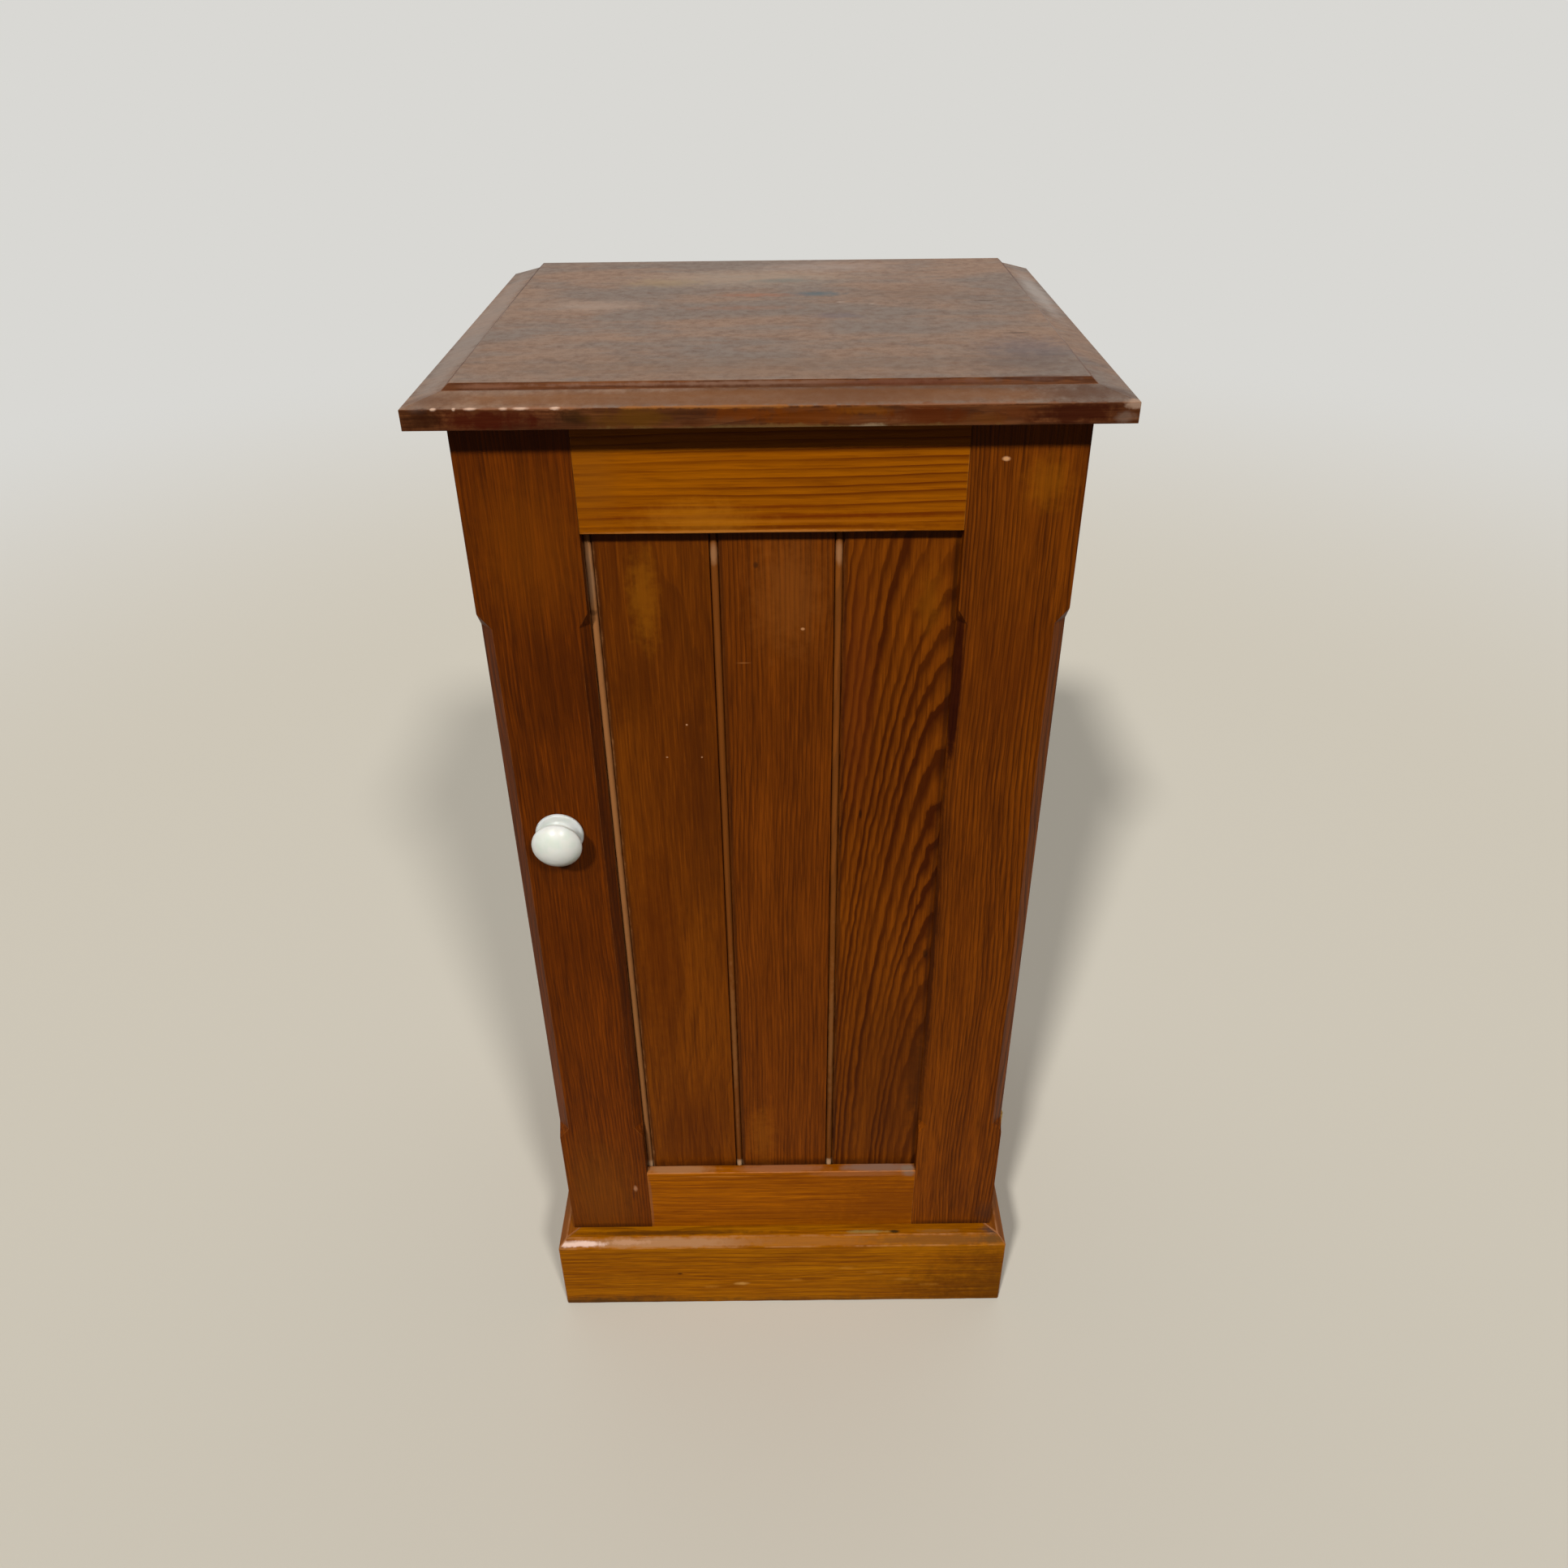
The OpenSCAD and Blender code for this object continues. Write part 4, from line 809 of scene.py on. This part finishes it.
def old_metal(name, bright, dull, roughness):
    make = new_recipe(name)
    whole = make.node("TexCoord").outputs["Object"]
    bloom = make.noise(whole, scale=160.0, detail=4.0, roughness=0.6)
    scratch = make.noise(make.vector("MULTIPLY", whole, (1800.0, 1800.0, 120.0)), detail=2.0)
    color = make.blend(make.band(bloom, 0.35, 0.7), bright, dull)
    rough = make.sum("MULTIPLY_ADD", bloom, 0.3, roughness - 0.15)
    return make.finish(color, rough, scratch, depth=0.00003, Metallic=1.0)


brass = old_metal("aged_brass", paint(196, 158, 84), paint(132, 96, 44), 0.38)
steel = old_metal("dull_steel", paint(150, 148, 144), paint(96, 92, 88), 0.45)
iron = old_metal("nail_iron", paint(84, 74, 66), paint(52, 40, 32), 0.6)


def porcelain_glaze():
    make = new_recipe("porcelain_glaze")
    whole = make.node("TexCoord").outputs["Object"]
    cloud = make.noise(whole, scale=60.0, detail=3.0)
    color = make.blend(make.band(cloud, 0.4, 0.66), paint(219, 217, 207), paint(206, 212, 198))
    return make.finish(color, make.sum("MULTIPLY_ADD", cloud, 0.1, 0.27), Specular_IOR_Level=0.3,
                       Subsurface_Weight=0.8, Subsurface_Radius=(1.0, 0.9, 0.8), Subsurface_Scale=0.014)


porcelain = porcelain_glaze()

# %% [markdown]
# ## The knob
#
# China knobs were turned on a wheel, so the knob is turned here too: half
# of its outline is drawn as a chain of points, and the spin operator
# carries that chain once round the spindle. The outline is the imported
# solid's: a foot with a round rim, a waisted neck, and a domed cap whose
# edge curls under.

# %% Knob
TURN_STEPS = 96
knob_low, knob_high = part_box("knob")
knob_axis = Vector(((knob_low.x + knob_high.x) / 2, 0.0, (knob_low.z + knob_high.z) / 2))
knob_reach = (face_y - knob_low.y) * 1000


def arc(middle, radius, start, end, steps=14):
    """Points on an arc between two angles in degrees, where 90 points out of the door."""
    turns = [math.radians(start + (end - start) * k / steps) for k in range(steps + 1)]
    return [(middle[0] + radius * math.cos(a), middle[1] + radius * math.sin(a)) for a in turns]


def turned(shape, outline, axis_at, steps, toward=Vector((0, -1, 0))):
    """Spins an outline of (radius, distance) in millimetres about a line along -Y or any other axis."""
    sideways = toward.orthogonal().normalized()
    ring = [shape.verts.new(axis_at + sideways * r * 0.001 + toward * (out * 0.001))
            for r, out in outline]
    for one, other in zip(ring, ring[1:]):
        shape.edges.new((one, other))
    bmesh.ops.spin(shape, geom=shape.verts[:] + shape.edges[:], cent=axis_at, axis=toward,
                   angle=math.tau, steps=steps, use_merge=True, use_duplicate=False)
    bmesh.ops.remove_doubles(shape, verts=shape.verts, dist=NO_LENGTH)
    bmesh.ops.recalc_face_normals(shape, faces=shape.faces)


HOLE_R, HOLE_DEEP, GAP = 3.05, 18, 0.3
FOOT, FOOT_R = (14.5, 1.8), 1.5
HOLLOW, HOLLOW_R = (14.4, 8.25), 5.5
RIM, RIM_R = (14.7, 15.0), 1.8
DOME_MID = ((knob_reach - RIM_R) ** 2 - RIM[0] ** 2 - RIM[1] ** 2) / (2 * (knob_reach - RIM_R - RIM[1]))
DOME_START = math.degrees(math.atan2(RIM[1] - DOME_MID, RIM[0]))
knob_outline = ([(0, HOLE_DEEP), (HOLE_R, HOLE_DEEP), (HOLE_R, GAP)] + arc(FOOT, FOOT_R, -90, 90)
                + arc(HOLLOW, HOLLOW_R, 244, 116) + arc(RIM, RIM_R, -90, DOME_START)[:-1]
                + arc((0, DOME_MID), knob_reach - DOME_MID, DOME_START, 90, 24)[:-1] + [(0, knob_reach)])
knob_shape = bmesh.new()
turned(knob_shape, knob_outline, knob_axis + Vector((0, face_y, 0)), TURN_STEPS)
for face in knob_shape.faces:
    face.smooth = True
knob_piece = place(knob_shape, "turned_knob", "latch", "porcelain", porcelain, ["knob"])
print("knob:", len(knob_piece.data.polygons), "faces, reach", round(knob_reach, 1), "mm")

# %% [markdown]
# ## Screws and nails
#
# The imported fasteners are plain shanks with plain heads. Each one is
# measured here and then turned again: the screws get a slot, each at its
# own angle, because nobody lines them up, and the nails get a low dome.

# %% Fasteners
HEAD_STEPS = 24
SLOT_HALF = 0.00032
SLOT_SHARE = 0.45
POINT_LENGTH = 3


def solids_of(node):
    """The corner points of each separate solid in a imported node, one list a solid."""
    shape = whole_mesh(node)
    waiting, found = set(shape.verts), []
    while waiting:
        group, reach = [], [waiting.pop()]
        while reach:
            corner = reach.pop()
            group.append(corner.co.copy())
            for link in corner.link_edges:
                other = link.other_vert(corner)
                if other in waiting:
                    waiting.discard(other)
                    reach.append(other)
        found.append(group)
    shape.free()
    # A set hands out its corners in another order each run, and each screw has to keep its angle
    return sorted(found, key=lambda group: min(corner[:] for corner in group))


def measure(points):
    """Where a fastener's head is, which way it points, and its radii and length."""
    low = Vector([min(p[i] for p in points) for i in range(3)])
    high = Vector([max(p[i] for p in points) for i in range(3)])
    size = high - low
    along = max(range(3), key=lambda i: size[i])
    middle = (low + high) / 2
    ends = []
    for at in (low[along], high[along]):
        rim = [p - middle for p in points if abs(p[along] - at) < 0.00005]
        for offset in rim:
            offset[along] = 0.0
        ends.append(max(offset.length for offset in rim))
    head = 0 if ends[0] > ends[1] else 1
    toward = Vector([0.0, 0.0, 0.0])
    toward[along] = 1.0 if head == 0 else -1.0
    start = middle.copy()
    start[along] = (low, high)[head][along]
    return start, toward, ends[head] * 1000, ends[1 - head] * 1000, size[along] * 1000


def new_fasteners(node, material, head_h, slotted):
    """Turns each fastener of a node again, in millimetres, from its head at 0 to its tip."""
    everything = bmesh.new()
    for points in solids_of(node):
        start, toward, head_r, shank_r, length = measure(points)
        one = bmesh.new()
        if slotted:
            outline = [(0, 0), (head_r * 0.94, 0), (head_r, 0.12), (shank_r, head_h),
                       (shank_r, length - POINT_LENGTH * shank_r), (0, length)]
        else:
            outline = [(0, 0), (head_r * 0.6, 0.06), (head_r * 0.9, 0.22), (head_r, head_h * 0.6),
                       (head_r, head_h), (shank_r, head_h), (shank_r, length - POINT_LENGTH * shank_r),
                       (0, length)]
        turned(one, outline, Vector((0, 0, 0)), HEAD_STEPS, toward=Vector((0, 0, 1)))
        if slotted:
            for y in (-SLOT_HALF, SLOT_HALF):
                bmesh.ops.bisect_plane(one, geom=one.verts[:] + one.edges[:] + one.faces[:],
                                       plane_co=(0, y, 0), plane_no=(0, 1, 0))
            slot = [f for f in one.faces
                    if f.normal.z < -0.9 and abs(f.calc_center_median().y) < SLOT_HALF]
            pushed = bmesh.ops.extrude_face_region(one, geom=slot)
            floor_of_slot = [v for v in pushed["geom"] if isinstance(v, bmesh.types.BMVert)]
            bmesh.ops.translate(one, verts=floor_of_slot, vec=(0, 0, head_h * SLOT_SHARE * 0.001))
            bmesh.ops.delete(one, geom=slot, context="FACES")
        shade_round(one)
        turn = Vector((0, 0, 1)).rotation_difference(toward).to_matrix().to_4x4()
        spin_by = Matrix.Rotation(random.uniform(0, math.pi), 4, "Z")
        bmesh.ops.transform(one, matrix=Matrix.Translation(start) @ turn @ spin_by, verts=one.verts)
        holder = bpy.data.meshes.new("one_fastener")
        one.to_mesh(holder)
        one.free()
        everything.from_mesh(holder)
        bpy.data.meshes.remove(holder)
    piece = place(everything, node + "_turned", body_of_node(node), slot_of_node(node), material, [node])
    print(node, "heads:", round(head_r, 2), "mm, shanks:", round(shank_r, 2), "mm,",
          len(piece.data.polygons), "faces")


random.seed(15)
new_fasteners("hinge_case_screws", brass, 1.6, True)
new_fasteners("hinge_door_screws", brass, 1.6, True)
new_fasteners("bearer_screws", steel, 2.6, True)
new_fasteners("top_screws", steel, 2.6, True)
new_fasteners("back_nails", iron, 0.8, False)
new_fasteners("catch_block_nails", iron, 0.6, False)

# %% [markdown]
# ## Hinges and latch
#
# The leaves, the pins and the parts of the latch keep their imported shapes.
# Easing their edges by a fifth of a millimetre is enough to let the brass
# catch the light, as cast and filed metal does.

# %% Brass with its edges eased
for hinge in ("upper_hinge", "lower_hinge"):
    for part in ("case_leaf", "door_leaf", "pin"):
        eased_board(f"{hinge}_{part}", brass, radius=0.00015)
for node in ("knob_spindle", "spindle_washer", "spindle_sleeve", "latch_tongue", "spindle_nut",
             "latch_stop_pins"):
    eased_board(node, brass, radius=0.0002)

# %% [markdown]
# ## Floor, sky and lamps
#
# The floor is pale and keeps the shadow, and further off it fades into the
# pale background, so no horizon shows. Two suns high in front, left and
# right, stand for the ceiling lamps of the room: their height is what makes
# the dark band under the top and under the door's top rail as deep as it
# is. The sky is dim in front and brighter behind, so that the back and the
# sides are lit softly too.

# %% Floor
BACKDROP = paint(217, 216, 212)
FADE = (1.1, 3.2)
floor_shape = bmesh.new()
bmesh.ops.create_grid(floor_shape, x_segments=1, y_segments=1, size=12.0)
floor_mesh = bpy.data.meshes.new("floor")
floor_shape.to_mesh(floor_mesh)
floor_shape.free()
floor = bpy.data.objects.new("floor", floor_mesh)
bpy.context.scene.collection.objects.link(floor)
ground = new_recipe("floor_paint")
floor_mesh.materials.append(ground.finish(paint(196, 189, 174), 0.8, Specular_IOR_Level=0.2))
far = ground.vector("LENGTH", ground.node("TexCoord").outputs["Object"])
glow = ground.node("Emission", Color=BACKDROP, Strength=1.0)
fade = ground.tree.nodes.new("ShaderNodeMixShader")
ground.feed(fade.inputs[0], ground.band(far, *FADE))
ground.feed(fade.inputs[1], ground.tree.nodes["Principled BSDF"].outputs[0])
ground.feed(fade.inputs[2], glow.outputs[0])
dark_floor = ground.node("BsdfDiffuse", Color=paint(90, 86, 78))
rays = ground.tree.nodes.new("ShaderNodeLightPath")
shown = ground.sum("MAXIMUM", rays.outputs["Is Camera Ray"],
                   ground.sum("MAXIMUM", rays.outputs["Is Glossy Ray"],
                              rays.outputs["Is Transmission Ray"]))
seen = ground.tree.nodes.new("ShaderNodeMixShader")
ground.feed(seen.inputs[0], shown)
ground.feed(seen.inputs[1], dark_floor.outputs[0])
ground.feed(seen.inputs[2], fade.outputs[0])
ground.feed(ground.tree.nodes["Material Output"].inputs["Surface"], seen.outputs[0])

# %% [markdown]
# ## The sky
#
# The camera and the mirror-like finishes see a plain pale backdrop. The
# light that falls on the wood comes from a second sky, dim in front and
# brighter behind, which a light path node swaps in for all other rays.

# %% World
SKY_FRONT = (0.05, 0.05, 0.052, 1)
SKY_BACK = (0.55, 0.55, 0.56, 1)
SKY_TURN = (-0.25, 0.75)
world = bpy.data.worlds.new("world")
bpy.context.scene.world = world
sky = Recipe(world)
compass = sky.node("TexCoord").outputs["Generated"]
behind = sky.band(sky.node("SeparateXYZ", Vector=compass).outputs["Y"], *SKY_TURN)
sky_rays = sky.node("LightPath").outputs
mirrored = sky.sum("MAXIMUM", sky_rays["Is Glossy Ray"], sky_rays["Is Transmission Ray"])
plain_view = sky.sum("MAXIMUM", sky_rays["Is Camera Ray"], mirrored)
light = sky.blend(behind, SKY_FRONT, SKY_BACK)
background = sky.tree.nodes["Background"]
sky.feed(background.inputs["Color"], sky.blend(plain_view, light, BACKDROP))
background.inputs["Strength"].default_value = 1.0

# %% [markdown]
# ## Two lamps
#
# A sun has no distance, so its shadows stay as sharp as its angle allows
# wherever the cupboard stands. The left one is the stronger, and the right
# one is softer, which gives one clear shadow and one faint one.

# %% Lamps
def sun(name, azimuth, elevation, softness, strength):
    """A sun shining on the front; azimuth 0 is in front of it, and positive is to the right."""
    turn, rise = math.radians(azimuth), math.radians(elevation)
    toward = Vector((math.sin(turn) * math.cos(rise), -math.cos(turn) * math.cos(rise), math.sin(rise)))
    light = bpy.data.lights.new(name, "SUN")
    light.angle = math.radians(softness)
    light.energy = strength
    made = bpy.data.objects.new(name, light)
    made.location = toward * 3
    made.rotation_euler = toward.to_track_quat("Z", "Y").to_euler()
    bpy.context.scene.collection.objects.link(made)


sun("ceiling_left", -22, 43, 5, 2.45)
sun("ceiling_right", 24, 43, 7, 1.6)
